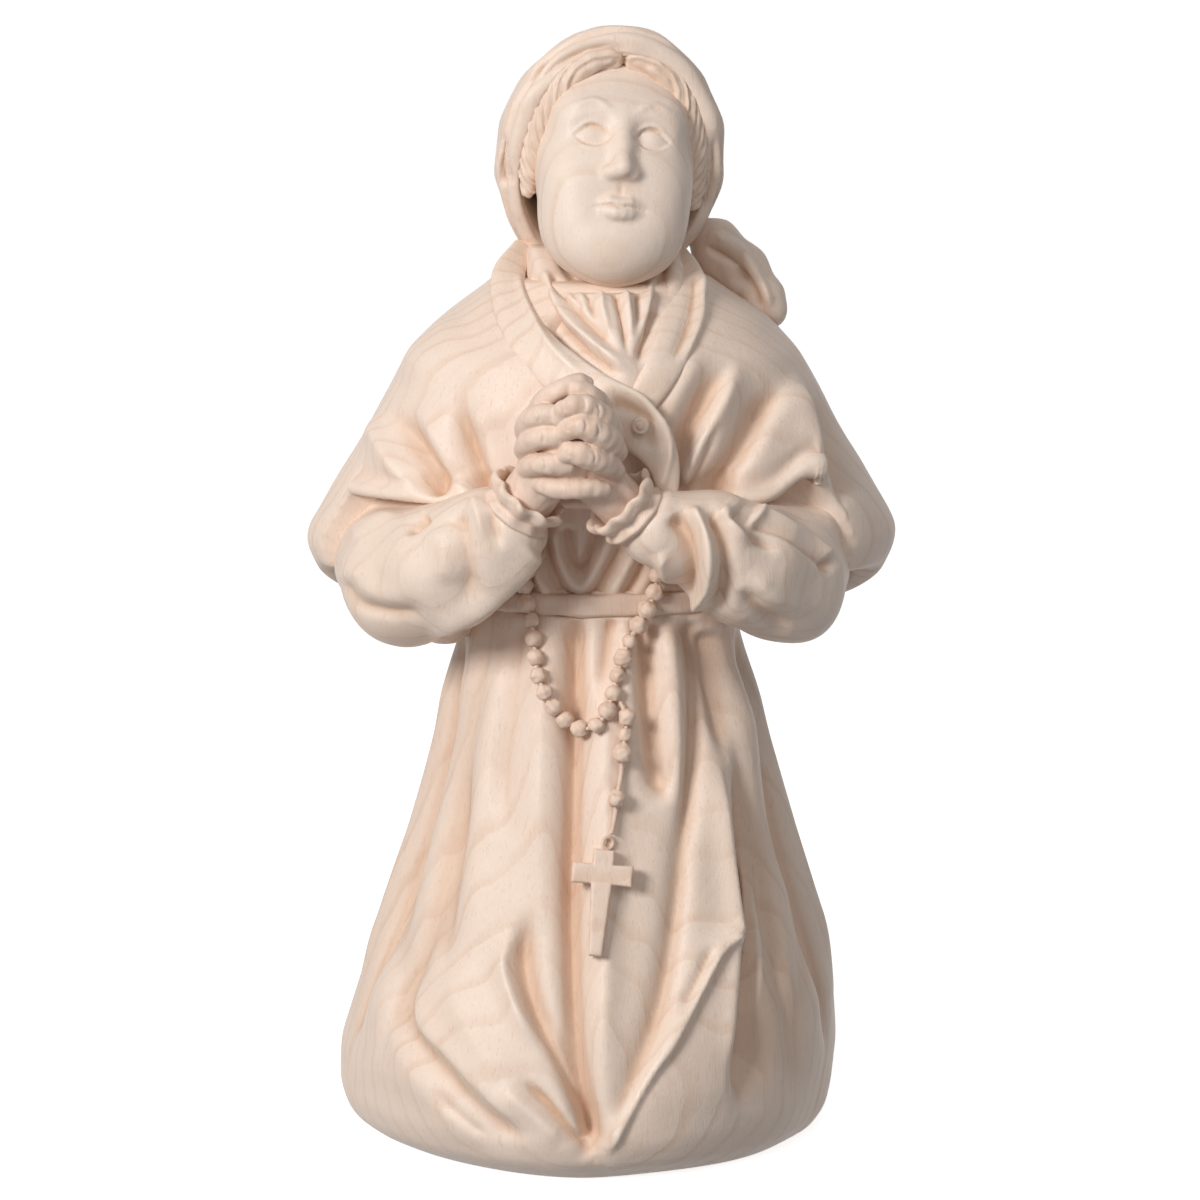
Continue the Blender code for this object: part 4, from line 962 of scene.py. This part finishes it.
clasp.make("hands", hands_wood, "hands_wood", "clasped_hands")

# ---------------------------------------------------------------- head and neck
HEAD_INWARD = np.array(HEAD.inverted())


class HeadGrid(Grid):
    """A grid in the figure's own frame whose coordinates are read in the head's."""

    def __init__(self, low, high, step):
        super().__init__(low, high, step)
        self.world = (self.x, self.y, self.z)
        m = HEAD_INWARD
        self.x, self.y, self.z = (
            m[k, 0] * self.world[0] + m[k, 1] * self.world[1] + m[k, 2] * self.world[2] + m[k, 3] for k in range(3)
        )

    def upright(self):
        """The same voxels, read in the figure's frame."""
        plain = Grid.__new__(Grid)
        plain.low, plain.step = self.low, self.step
        plain.x, plain.y, plain.z = self.world
        return plain


g = HeadGrid((-22, -37, NECK_BASE), (27, 25, 249), 0.36)
face = merge(
    ellipsoid(g, (0, 3.2, 4.6), (18.0, 19.6, 18.0), 2.5), ellipsoid(g, (0, -4.6, -7.5), (16.4, 15.0, 21.5)), 5.0
)
face = merge(face, ellipsoid(g, (0, -11.0, -24.4), (8.4, 6.4, 5.8)), 7.0)
face = merge(face, capsule(g, (-9.0, -13.2, 4.8), (9.0, -13.2, 4.8), 4.2, 4.2), 5.0)
for side in (-1, 1):
    face = merge(face, ellipsoid(g, (side * 8.8, -11.8, -9.4), (6.0, 5.6, 6.6)), 6.0)
    face = merge(face, ellipsoid(g, (side * 8.0, -7.5, -18.0), (6.4, 7.4, 7.0)), 6.0)
    face = without(face, ellipsoid(g, (side * 6.5, -20.6, 0.2), (4.6, 3.4, 3.0)), 2.6)
    face = merge(face, ellipsoid(g, (side * 6.5, -13.5, -0.3), (4.5, 4.3, 3.5)), 0.8)
face = merge(face, chain(g, [(0, -16.2, 4.6), (0, -19.2, -3.0), (0, -21.6, -8.2)], (1.8, 1.8, 2.1), 1.0), 2.6)
for side in (-1, 1):
    face = merge(face, ellipsoid(g, (side * 2.4, -19.2, -9.0), (1.8, 2.3, 1.5)), 1.3)
upper_lip = [
    (-5.6, -16.6, -15.9), (-2.2, -19.0, -15.2), (0, -19.2, -15.5), (2.2, -19.0, -15.2), (5.6, -16.6, -15.9)
]
lower_lip = [(-4.6, -17.0, -16.8), (-1.6, -18.8, -17.5), (1.6, -18.8, -17.5), (4.6, -17.0, -16.8)]
face = merge(face, soft_chain(g, upper_lip, (0.5, 1.0, 0.9, 1.0, 0.5), 10, 0.5), 1.3)
face = merge(face, soft_chain(g, lower_lip, (0.5, 1.2, 1.2, 0.5), 8, 0.5), 1.3)
for side in (-1, 1):
    ear = chain(
        g,
        [(side * 18.4, 1.4, 5.0), (side * 19.8, 2.6, 2.0), (side * 19.2, 1.4, -3.0), (side * 17.6, -0.2, -6.4)],
        (1.6, 1.7, 1.5, 1.6), 1.0
    )
    face = merge(face, ear, 1.2)
upright = g.upright()
throat = chain(
    upright, [from_chest(1, 2.5, 54), from_chest(1, 2.5, 64), from_chest(1.6, 1.5, 82)], (10.2, 9.6, 9.6), 3.0
)
face = merge(face, throat, 4.0)
face = within(face, NECK_BASE + 0.3 - upright.z, 0.6)
head = g.skin(face).outward().smooth(1)
head.placed(HEAD.inverted())


def incise(skin, depth, width, route, count=30):
    """A line drawn straight on to the face, in the head's own frame: (x, z) points."""
    line = smooth_route(route, count)
    flat = np.stack([skin.points[:, 0], skin.points[:, 2]], axis=1)
    chosen = np.flatnonzero(
        (skin.points[:, 1] < -9)
        & (flat > line.min(axis=0) - 3 * width).all(axis=1)
        & (flat < line.max(axis=0) + 3 * width).all(axis=1)
    )
    gap = np.linalg.norm(flat[chosen][:, None] - line[None], axis=2)
    best = gap.argmin(axis=1)
    taper = np.sin(np.pi * np.clip(best / (count - 1), 0.04, 0.96)) ** 0.5
    amount = np.zeros(len(skin.points))
    amount[chosen] = depth * taper * bell(gap[np.arange(len(chosen)), best], width)
    return amount


drawn = sum(
    incise(head, depth, width, [(side * x, z) for x, z in route])
    for side in (-1, 1)
    for depth, width, route in (
        (-0.50, 0.36, [(2.7, -0.7), (4.6, 1.3), (7.4, 1.6), (10.2, -0.5)]),
        (0.42, 0.42, [(2.7, 0.2), (4.6, 2.2), (7.6, 2.5), (10.8, 0.1)]),
        (-0.42, 0.34, [(2.9, -1.0), (5.2, -2.4), (7.8, -2.2), (10.0, -0.8)]),
        (0.30, 0.42, [(3.2, -1.9), (5.4, -3.3), (8.0, -3.1), (10.2, -1.6)]),
        (0.50, 0.80, [(2.8, 5.4), (6.4, 7.2), (10.8, 5.6)]),
    )
)
drawn = drawn + incise(head, -0.7, 0.32, [(-5.6, -16.4), (-2.0, -16.1), (0, -16.45), (2.0, -16.1), (5.6, -16.4)])
drawn = drawn + incise(head, -0.25, 0.7, [(0, -11.4), (0, -13.6)])
head.push(drawn)
head.placed(HEAD)
head.points[:, 2] = np.maximum(head.points[:, 2], NECK_BASE + 0.3)
head.make("head_piece", head_wood, "head_wood", "head")

# ---------------------------------------------------------------- hair, parted in the middle
g = HeadGrid((-22, -36, 196), (27, 20, 249), 0.36)
HAIR_ROUTE = (
    (0.0, -13.2, 19.0), (6.0, -13.4, 18.0), (12.2, -11.6, 13.2), (16.2, -8.4, 5.6), (18.0, -4.6, -2.0),
    (18.2, -1.6, -9.5)
)
HAIR_RADII = (2.4, 2.9, 3.0, 2.8, 2.3, 1.6)
locks = None
for side in (-1, 1):
    half = soft_chain(g, [(side * x, y, z) for x, y, z in HAIR_ROUTE], HAIR_RADII)
    locks = half if locks is None else merge(locks, half, 0.6)
crown = ellipsoid(g, (0, 5.5, 4.5), (18.6, 18.0, 20.6))
locks = merge(locks, crown, 1.6)
hair = g.skin(locks).outward().smooth(1)
hair.placed(HEAD.inverted())
p = hair.points
along = np.arctan2(p[:, 2] - 2.0, np.abs(p[:, 0]) + 1e-6)
across = np.hypot(p[:, 0], p[:, 2] - 2.0) + 0.9 * p[:, 1] + 0.35 * np.sin(along * 6.0)
strands = 0.20 * np.sin(across * 3.4) + 0.14 * np.sin(across * 6.1 + 2.0 * along)
part = -1.2 * bell(p[:, 0], 0.5) * ramp(p[:, 2], 10, 16)
hair.push(strands * ramp(-p[:, 1], -6, 2) + part)
hair.placed(HEAD)
hair.make("hair", hair_wood, "head_wood")

# ---------------------------------------------------------------- kerchief
KERCHIEF_ROWS = (
    (-21.0, 0.0, 10.0, 14.5, -3.0, 21.0),
    (-13.0, 0.0, 9.0, 20.8, -11.0, 27.6),
    (-3.0, 0.0, 8.0, 24.8, -19.0, 31.2),
    (8.0, 0.0, 6.0, 24.4, -23.3, 31.6),
    (17.0, 0.0, 5.0, 20.6, -21.6, 29.2),
    (24.6, 0.0, 4.0, 13.2, -14.7, 22.0),
    (29.0, 0.0, 4.0, 6.0, -5.0, 11.0),
)
g = HeadGrid((-25, -24, 191), (29, 31, 251.5), 0.42)
z_of = np.clip(g.z, -26, 34)
shift, middle, width, front, back = eased(KERCHIEF_ROWS, z_of, 5.0)
y = g.y - middle
along = np.where(y > 0, y / (back - middle), -y / (middle - front))
reach = (np.abs(g.x / width) ** 2.1 + along**2.1) ** (1 / 2.1)
cloth = (reach - 1) * np.minimum(width, 0.5 * (back - front))
cloth = within(cloth, g.z - 28.6, 4.0)
cloth = within(cloth, -20.6 - g.z, 2.5)
skull = merge(
    ellipsoid(g, (0, 3.2, 4.6), (19.8, 22.4, 21.0), 2.3), ellipsoid(g, (0, -2.0, -8.0), (18.6, 19.0, 20.0)), 5.0
)
cloth = without(cloth, skull, 1.2)
LIP_TILT = math.radians(34)


def behind_lip(x, y, z):
    """How far a place in the head's frame lies behind the kerchief's bowed lip."""
    return (y + 4.5) * math.cos(LIP_TILT) + z * math.sin(LIP_TILT) - 0.6 + 0.006 * x**2


cloth = within(cloth, -behind_lip(g.x, g.y, g.z), 1.8)
kerchief = g.skin(cloth).outward().smooth(2)
kerchief.placed(HEAD.inverted())
p = kerchief.points
lip = behind_lip(*p.T)
outer_side = ramp((kerchief.normals() * (p - (0, 4, 4))).sum(axis=1), -2.0, 6.0)
ripple = 0.5 * np.sin(np.arctan2(p[:, 2] - 4, p[:, 0]) * 11)
hem_shape = (
    1.1 * bell(lip - 1.6, 1.5) - 1.2 * bell(lip - 4.4, 0.9)
    + 0.8 * bell(lip - 6.6 - ripple, 1.3) - 0.8 * bell(lip - 9.2 - ripple, 1.0)
)
kerchief.push(outer_side * hem_shape)
kerchief.placed(HEAD)
kerchief.carve([
    (-1.6, 2.2, 2.2, [(-18, 232), (-6, 238), (8, 240)], 0.3, 0.3),
    (-1.8, 1.6, 1.6, [(26, 222), (25, 212), (22, 203)], 0.3, 0.2),
    (-1.6, 1.5, 1.5, [(-22.5, 222), (-22, 215), (-20.5, 209)], 0.3, 0.2),
])
kerchief.carve([
    (-2.0, 2.4, 2.4, [(-8, 244), (-10, 230), (-8, 212), (-3, 200)], 0.3, 0.15),
    (1.4, 2.8, 2.8, [(-2, 244), (-3, 228), (-1, 212), (1, 200)], 0.3, 0.15),
    (-2.0, 2.4, 2.4, [(5, 244), (6, 228), (6, 212), (5, 200)], 0.3, 0.15),
    (-1.8, 2.2, 2.2, [(14, 238), (16, 224), (14, 210)], 0.3, 0.3),
    (-1.8, 2.2, 2.2, [(-17, 236), (-19, 222), (-15, 208)], 0.3, 0.3),
], (180.0, 8.0), (0.1, 0.5))
kerchief.waver(0.16, 16.0, 31)
kerchief.smooth(1, 0.4)
kerchief.make("kerchief_piece", kerchief_wood, "kerchief_wood", "kerchief")

# ---------------------------------------------------------------- the kerchief's hanging tail
g = Grid((18.5, 1, 179.5), (43.5, 12.6, 205), 0.32)
tail = chain(
    g,
    [
        from_chest(21, 14.8, 75.4), from_chest(26.0, 15.2, 73.2), from_chest(32.0, 14.8, 67.0),
        from_chest(36.6, 13.6, 60.6), from_chest(38.0, 12.8, 58.4)
    ],
    (3.2, 4.4, 5.0, 4.2, 3.2), 2.0
)
wing = merge(
    capsule(g, from_chest(23.5, 15, 70.0), from_chest(29.5, 15, 60.5), 3.0, 2.4),
    capsule(g, from_chest(29.5, 15, 60.5), from_chest(38.0, 13, 56.6), 2.6, 2.2), 1.5)
tail = merge(tail, wing, 3.0)
pocket = merge(
    capsule(g, from_chest(26.4, 8.2, 68.6), from_chest(30.6, 8.0, 64.6), 1.6, 3.0),
    capsule(g, from_chest(30.6, 8.0, 64.6), from_chest(34.2, 8.0, 60.4), 3.0, 1.9), 0.8)
tail = without(tail, pocket, 0.9)
knot = g.skin(tail).outward().smooth(2)
knot.carve([
    (1.2, 1.6, 1.0, [(24, 199.5), (31, 195.5), (36.0, 188.0), (38.4, 181.5)], 0.15, 0.15),
    (-1.3, 1.0, 1.0, [(23.4, 196), (29.6, 192.6), (34.4, 186.4), (36.4, 181)], 0.15, 0.2),
    (-1.1, 1.0, 1.0, [(22.8, 189.4), (27.4, 185.6), (32.4, 182.4)], 0.2, 0.2),
])
knot.make("tail_piece", kerchief_wood, "kerchief_wood", "kerchief_tail")

# ---------------------------------------------------------------- neckerchief and lapels
SCARF_ROWS = (
    (38.0, 7.0, 0.0, 6.0, -31.0, 10.0),
    (45.0, 5.6, 0.0, 10.5, -31.6, 12.0),
    (52.0, 4.0, 0.0, 17.2, -30.0, 15.0),
    (60.0, 1.5, 1.0, 18.6, -24.8, 16.0),
    (68.0, 1.0, 2.0, 17.6, -20.0, 17.0),
    (74.0, 0.6, 3.0, 16.4, -17.0, 17.0),
)
g = Grid((-19, -41, CHEST + 38), (23, 10, CHEST + 75), 0.42)
field = lofted(g, [(z + CHEST, *rest) for z, *rest in SCARF_ROWS], 4.0, 2.0)
field = within(field, CHEST + 40.0 - g.z, 1.0)
collar_top = CHEST + 74 - 8.5 * ramp(SPINE - 3 - g.y, 0, 12)
field = within(field, g.z - collar_top, 1.6)
chest_hollow = ellipsoid(g, (1.0, SPINE - 12.0, CHEST + 75.0), (12.4, 14.0, 10.0))
field = without(field, chest_hollow, 1.4)
scarf = g.skin(field).outward().smooth(2)
scarf.carve([
    # folds from the left shoulder to the crossing, then from the right, then the gathers under the throat
    (-1.8, 1.2, 1.2, [(-14.8, 190), (-10.4, 180), (-3.0, 172.6), (5.4, 166.6)], 0.1, 0.2),
    (1.3, 1.2, 1.2, [(-12.8, 191), (-8.4, 181.6), (-1.4, 174.6), (6.4, 168.2)], 0.1, 0.2),
    (-1.5, 1.1, 1.1, [(-10.8, 190), (-6.6, 183), (-0.4, 177), (4.4, 172.4)], 0.1, 0.3),
    (-2.2, 1.3, 1.3, [(20.4, 192), (18.8, 181), (14.0, 171), (10.0, 165)], 0.1, 0.2),
    (1.4, 1.3, 1.3, [(17.8, 194), (16.2, 183), (12.4, 173.6), (9.2, 167)], 0.1, 0.2),
    (-2.2, 1.2, 1.2, [(14.8, 194), (13.0, 184.6), (10.2, 175.6), (8.6, 169)], 0.1, 0.2),
    (1.2, 1.1, 1.1, [(12.0, 189), (10.4, 180.6), (8.6, 173)], 0.1, 0.3),
    (-1.3, 0.8, 0.8, [(-2.6, 187.0), (-2.4, 183.6), (-0.4, 178.4)], 0.05, 0.5),
    (0.9, 0.9, 0.9, [(0.2, 187.0), (0.8, 182), (2.4, 175.6)], 0.05, 0.5),
    (-1.5, 0.8, 0.8, [(3.4, 187.0), (4.4, 182), (5.6, 176), (6.4, 171)], 0.05, 0.4),
    (1.0, 0.9, 0.9, [(5.8, 187.0), (6.4, 181.6), (7.2, 175)], 0.05, 0.4),
    (-1.3, 0.8, 0.8, [(8.2, 187.4), (8.6, 182.6), (8.4, 177)], 0.05, 0.5),
    (-1.0, 0.8, 0.8, [(-6.0, 187.6), (-5.4, 184.6), (-3.6, 181)], 0.05, 0.5),
])
scarf.waver(0.12, 12.0, 41)
scarf.make("neckerchief_piece", scarf_wood, "neckerchief_wood", "neckerchief")

lapel = sweep([
    (-16.8, 2.6, CHEST + 73.0, 2.4, 1.3), (-20.0, -8.0, CHEST + 66.6, 3.8, 1.4),
    (-15.6, -21.6, CHEST + 56.0, 4.6, 1.5), (-4.6, -30.0, CHEST + 46.8, 5.2, 1.5),
    (6.4, -33.4, CHEST + 39.6, 5.6, 1.6), (12.6, -34.0, CHEST + 32.6, 4.0, 1.6),
    (14.2, -33.8, CHEST + 25.6, 2.6, 1.5), (13.0, -33.4, CHEST + 18.6, 1.9, 1.4),
    (10.8, -33.4, CHEST + 12.8, 1.3, 1.2),
], 44, 190)
lapel.carve([
    (
        1.0, 0.9, 0.9,
        [(-15.0, 194), (-13.4, 184.6), (-1.0, 172.0), (10.6, 161.2), (14.9, 155.0), (15.4, 148.4), (12.4, 139.6)],
        0.05, 0.1
    ),
    (-0.9, 0.5, 1.6, [(1.4, 160.8), (6.0, 160.2), (10.0, 158.4), (12.4, 155.8)], 0.2, 0.2),
    (-1.3, 2.0, 2.6, [(0.6, 164.0), (6.4, 160.2), (10.8, 155.4), (11.6, 149.6)], 0.3, 0.2),
    (0.8, 0.8, 0.8, [(-18.2, 190), (-16.6, 184), (-11.4, 174.6), (-2.6, 166)], 0.1, 0.3),
    (-0.5, 1.3, 1.3, [(-16.8, 190), (-15.0, 184), (-9.6, 175.4), (0.2, 167)], 0.1, 0.2),
], facing=(-0.1, 0.2))
lapel.waver(0.10, 10.0, 43)
lapel.make("right_lapel_piece", lapel_wood, "lapel_wood", "right_lapel")
lapel = sweep([
    (16.3, 3.6, CHEST + 72.0, 2.6, 1.3), (19.0, -8.0, CHEST + 66.0, 4.2, 1.4),
    (17.2, -19.5, CHEST + 58.0, 4.8, 1.4),
    (13.6, -27.4, CHEST + 50.6, 4.0, 1.4), (9.0, -30.6, CHEST + 43.6, 3.4, 1.3),
], 40, 110)
lapel.carve([
    (0.8, 0.8, 0.8, [(23.0, 190), (22.4, 180), (18.4, 170)], 0.1, 0.2),
    (-0.8, 1.0, 1.0, [(20.8, 190), (19.8, 180), (16.0, 170)], 0.1, 0.2),
])
lapel.waver(0.10, 10.0, 44)
lapel.make("left_lapel_piece", lapel_wood, "lapel_wood", "left_lapel")

# ---------------------------------------------------------------- button
def turned(profile, centre, axis, sides=40, ripple=0.0, lobes=0):
    """A closed profile of (radius, height) points, turned about an axis."""
    axis = np.array(axis, float) / np.linalg.norm(axis)
    helper = np.array((0.0, 1.0, 0.0)) if abs(axis[1]) < 0.8 else np.array((0.0, 0.0, 1.0))
    u = np.cross(helper, axis)
    u /= np.linalg.norm(u)
    v = np.cross(axis, u)
    angle = np.linspace(0, 2 * math.pi, sides, endpoint=False)
    rings = []
    for radius, height in profile:
        r = radius * (1 + ripple * np.cos(lobes * angle))
        rings.append(
            np.array(centre) + np.outer(r * np.cos(angle), u) + np.outer(r * np.sin(angle), v) + axis * height
        )
    return Carving(np.vstack(rings), tube_quads(len(rings), sides)).turned_out()


low, high = node_box("cape_button")
button_centre = (low + high) / 2
profile = smooth_route(
    [
        (0.03, -0.9), (1.5, -0.8), (2.0, -0.2), (1.75, 0.55), (1.35, 0.75), (1.15, 0.62), (0.9, 0.8), (0.5, 1.1),
        (0.03, 1.2)
    ],
    40
)
button = turned(profile, button_centre + (0, -0.6, 0), (0.0, -1.0, 0.1))
button.make("button", button_wood, "button_wood", "cape_button")

# ---------------------------------------------------------------- rosary
depsgraph = bpy.context.evaluated_depsgraph_get()
ground = [
    BVHTree.FromObject(bpy.data.objects[name], depsgraph) for name in ("skirt", "waistband_piece", "bodice_piece")
]


def front_of(x, z):
    """y of whichever carved surface is foremost at x, z."""
    hits = [tree.ray_cast(Vector((x, -200, z)) * MM, Vector((0, 1, 0)))[0] for tree in ground]
    return min((hit.y / MM for hit in hits if hit), default=-30.0)


def lying(name, radius):
    """Where a small round piece rests: over its solid's place, on the carved front."""
    low, high = node_box(name)
    x, _, z = (low + high) / 2
    nearest = min(front_of(x + dx, z + dz) + 0.28 * (dx * dx + dz * dz) for dx in (-1, 0, 1) for dz in (-1, 0, 1))
    return np.array((x, nearest - radius * 0.86, z))


def resting(x, z, lift):
    """A point that far in front of the carved surface."""
    return np.array((x, front_of(x, z) - lift, z))


def strand(names, cord_node, cord_name):
    """Turned beads in a row on the carved front, and the cord that runs through them."""
    centres = np.array([lying(name, 1.85) for name in names])
    for k in range(1, len(centres) - 1):
        centres[k, 1] = min(centres[k, 1], (centres[k - 1, 1] + centres[k + 1, 1]) / 2 + 0.5)
    for k, (name, centre) in enumerate(zip(names, centres)):
        way = centres[min(k + 1, len(centres) - 1)] - centres[max(k - 1, 0)]
        way = way / np.linalg.norm(way) + 0.12 * rng.normal(size=3)
        size = 1.0 + 0.075 * rng.normal()
        profile = [
            (0.5, -1.62), (0.85, -1.72), (1.15, -1.6), (1.5, -1.22), (1.82, -0.55), (1.92, 0.0), (1.82, 0.55),
            (1.5, 1.22), (1.15, 1.6), (0.85, 1.72), (0.5, 1.62), (0.46, 0.8), (0.46, 0.0), (0.46, -0.8),
        ]
        bead = turned(smooth_route([*profile, profile[0]], 49)[:-1] * size, centre, way, 32)
        bead.waver(0.15, 2.2, 60 + k)
        bead.make(f"{name}_turned", rosary_wood, "rosary_wood", name)
    if cord_node == "rosary_cord":              # its two ends run on behind the hands
        first, last = centres[0] * 2 - centres[1], centres[-1] * 2 - centres[-2]
        line = [centres[0] + 0.9 * (first - centres[0]), *centres, centres[-1] + 0.9 * (last - centres[-1])]
    else:
        low, high = node_box(cord_node)
        line = [
            resting(4.2, high[2] - 0.6, 1.1), *centres[:3], resting(4.6, 88.2, 0.9), centres[3],
            resting(3.4, 80.6, 1.0), resting(3.0, 78.2, 1.0), resting(2.5, low[2] + 0.8, 1.3),
        ]
    cord = sweep([(*(p - (0, SPINE, 0)), 0.5, 0.5) for p in line], 12, 420, 2.0)
    twist = np.sin(np.arange(len(cord.points)) // 12 * 0.9 + np.arange(len(cord.points)) % 12 * math.pi / 3)
    cord.push(0.09 * twist)
    cord.make(cord_name, rosary_wood, "rosary_wood", cord_node)


strand([f"rosary_bead_{k:02d}" for k in range(1, 24)], "rosary_cord", "strand_cord")
strand([f"pendant_bead_{k}" for k in range(1, 5)], "pendant_cord", "hanging_cord")

low, high = node_box("rosary_cross")
CROSS_X, CROSS_Z = 0.5, high[2] - 6.2
below = np.linspace(4.0, -16.0, 11)
ground_y = np.array([min(front_of(CROSS_X + dx, CROSS_Z + dz) for dx in (-2.5, 0.0, 2.5)) for dz in below])
slope = np.polyfit(below, ground_y, 1)[0]
rest_y = (ground_y - slope * below).min()
frame_of_cross = (
    Matrix.Translation((CROSS_X, rest_y + 0.3, CROSS_Z))
    @ Matrix.Rotation(-math.atan(slope), 4, "X") @ Matrix.Rotation(math.radians(5), 4, "Y")
)
g = Grid((-7.6, -4.2, -18.2), (7.6, 0.8, 6.8), 0.22)
half = 2.3 - 0.055 * np.maximum(-g.z - 2, 0)
upright_bar = np.maximum(np.abs(g.x) - half, np.abs(g.z + 6.1) - 11.5)
cross_bar = np.maximum(np.abs(g.x) - 6.6, np.abs(g.z) - 2.15 * (1 + 0.05 * np.abs(g.x) / 6))
outline = np.minimum(upright_bar, cross_bar)
slab = np.abs(g.y + 1.7) - 1.7
field = within(outline, slab, 0.7)
cross = g.skin(field).outward().smooth(1)
cross.waver(0.08, 5.0, 77)
cross.placed(frame_of_cross)
cross.make("cross", cross_wood, "cross_wood", "rosary_cross")

ring_centre = np.array(frame_of_cross @ Vector((0.6, -1.4, 6.9)))
hoop = [(1.25 + 0.42 * math.cos(t), 0.42 * math.sin(t)) for t in np.linspace(0, 2 * math.pi, 14, endpoint=False)]
ring = turned(hoop, ring_centre, (0.5, -1.0, 0.15), 36)
ring.make("cross_ring", rosary_wood, "rosary_wood")

# ---------------------------------------------------------------- the dowels keep their solids
for name in (
    "right_waist_dowel", "left_waist_dowel", "neck_dowel", "right_arm_dowel", "left_arm_dowel", "tail_dowel"
):
    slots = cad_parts[name].material_slots
    for slot in slots:
        slot.material = dowel_wood

# ---------------------------------------------------------------- floor, light and camera
def white_screen(name, glow):
    """Makes the object that was just added a glowing white screen."""
    screen = bpy.context.object
    screen.name = name
    white = bpy.data.materials.new(f"{name}_white")
    white.use_nodes = True
    inputs = white.node_tree.nodes["Principled BSDF"].inputs
    inputs["Base Color"].default_value = (0.85, 0.85, 0.85, 1.0)
    inputs["Roughness"].default_value = 0.9
    inputs["Emission Color"].default_value = (1.0, 1.0, 1.0, 1.0)
    inputs["Emission Strength"].default_value = glow
    screen.data.materials.append(white)
    return screen


bpy.ops.mesh.primitive_plane_add(size=12)
floor = white_screen("floor", 0.74)
bpy.ops.mesh.primitive_uv_sphere_add(radius=5.5, segments=48, ring_count=24)
backdrop = white_screen("backdrop", 1.0)
for screen in (floor, backdrop):
    screen.visible_diffuse = False          # the white around the figure doesn't flatten its shading
    screen.visible_shadow = False

world = bpy.data.worlds.new("studio")
bpy.context.scene.world = world
world.use_nodes = True
world.node_tree.nodes["Background"].inputs["Color"].default_value = (0.96, 0.98, 1.0, 1.0)
world.node_tree.nodes["Background"].inputs["Strength"].default_value = 0.19


def area_light(name, place, size, power, colour=(1, 1, 1), target=(0, 0, 0.12)):
    light = bpy.data.lights.new(name, "AREA")
    light.shape = "SQUARE"
    light.size = size
    light.energy = power
    light.color = colour
    lamp = bpy.data.objects.new(name, light)
    lamp.location = place
    lamp.rotation_euler = (Vector(target) - Vector(place)).to_track_quat("-Z", "Y").to_euler()
    bpy.context.scene.collection.objects.link(lamp)


area_light("key", (-0.95, -1.2, 0.8), 0.5, 21, (1.0, 0.995, 0.985))
area_light("front", (0.3, -1.25, 1.45), 0.9, 5)
area_light("fill", (1.0, -1.5, 0.4), 1.0, 0.3)

lens = bpy.data.cameras.new("camera")
lens.lens = 161.7
lens.sensor_width = 36
camera = bpy.data.objects.new("camera", lens)
view = Drawing(*FRONT)
eye = AIM + view.towards * EYE
camera.location = eye * MM
camera.rotation_euler = Vector(-view.towards).to_track_quat("-Z", "Y").to_euler()
bpy.context.scene.collection.objects.link(camera)
bpy.context.scene.camera = camera
bpy.context.scene.view_settings.view_transform = "Standard"
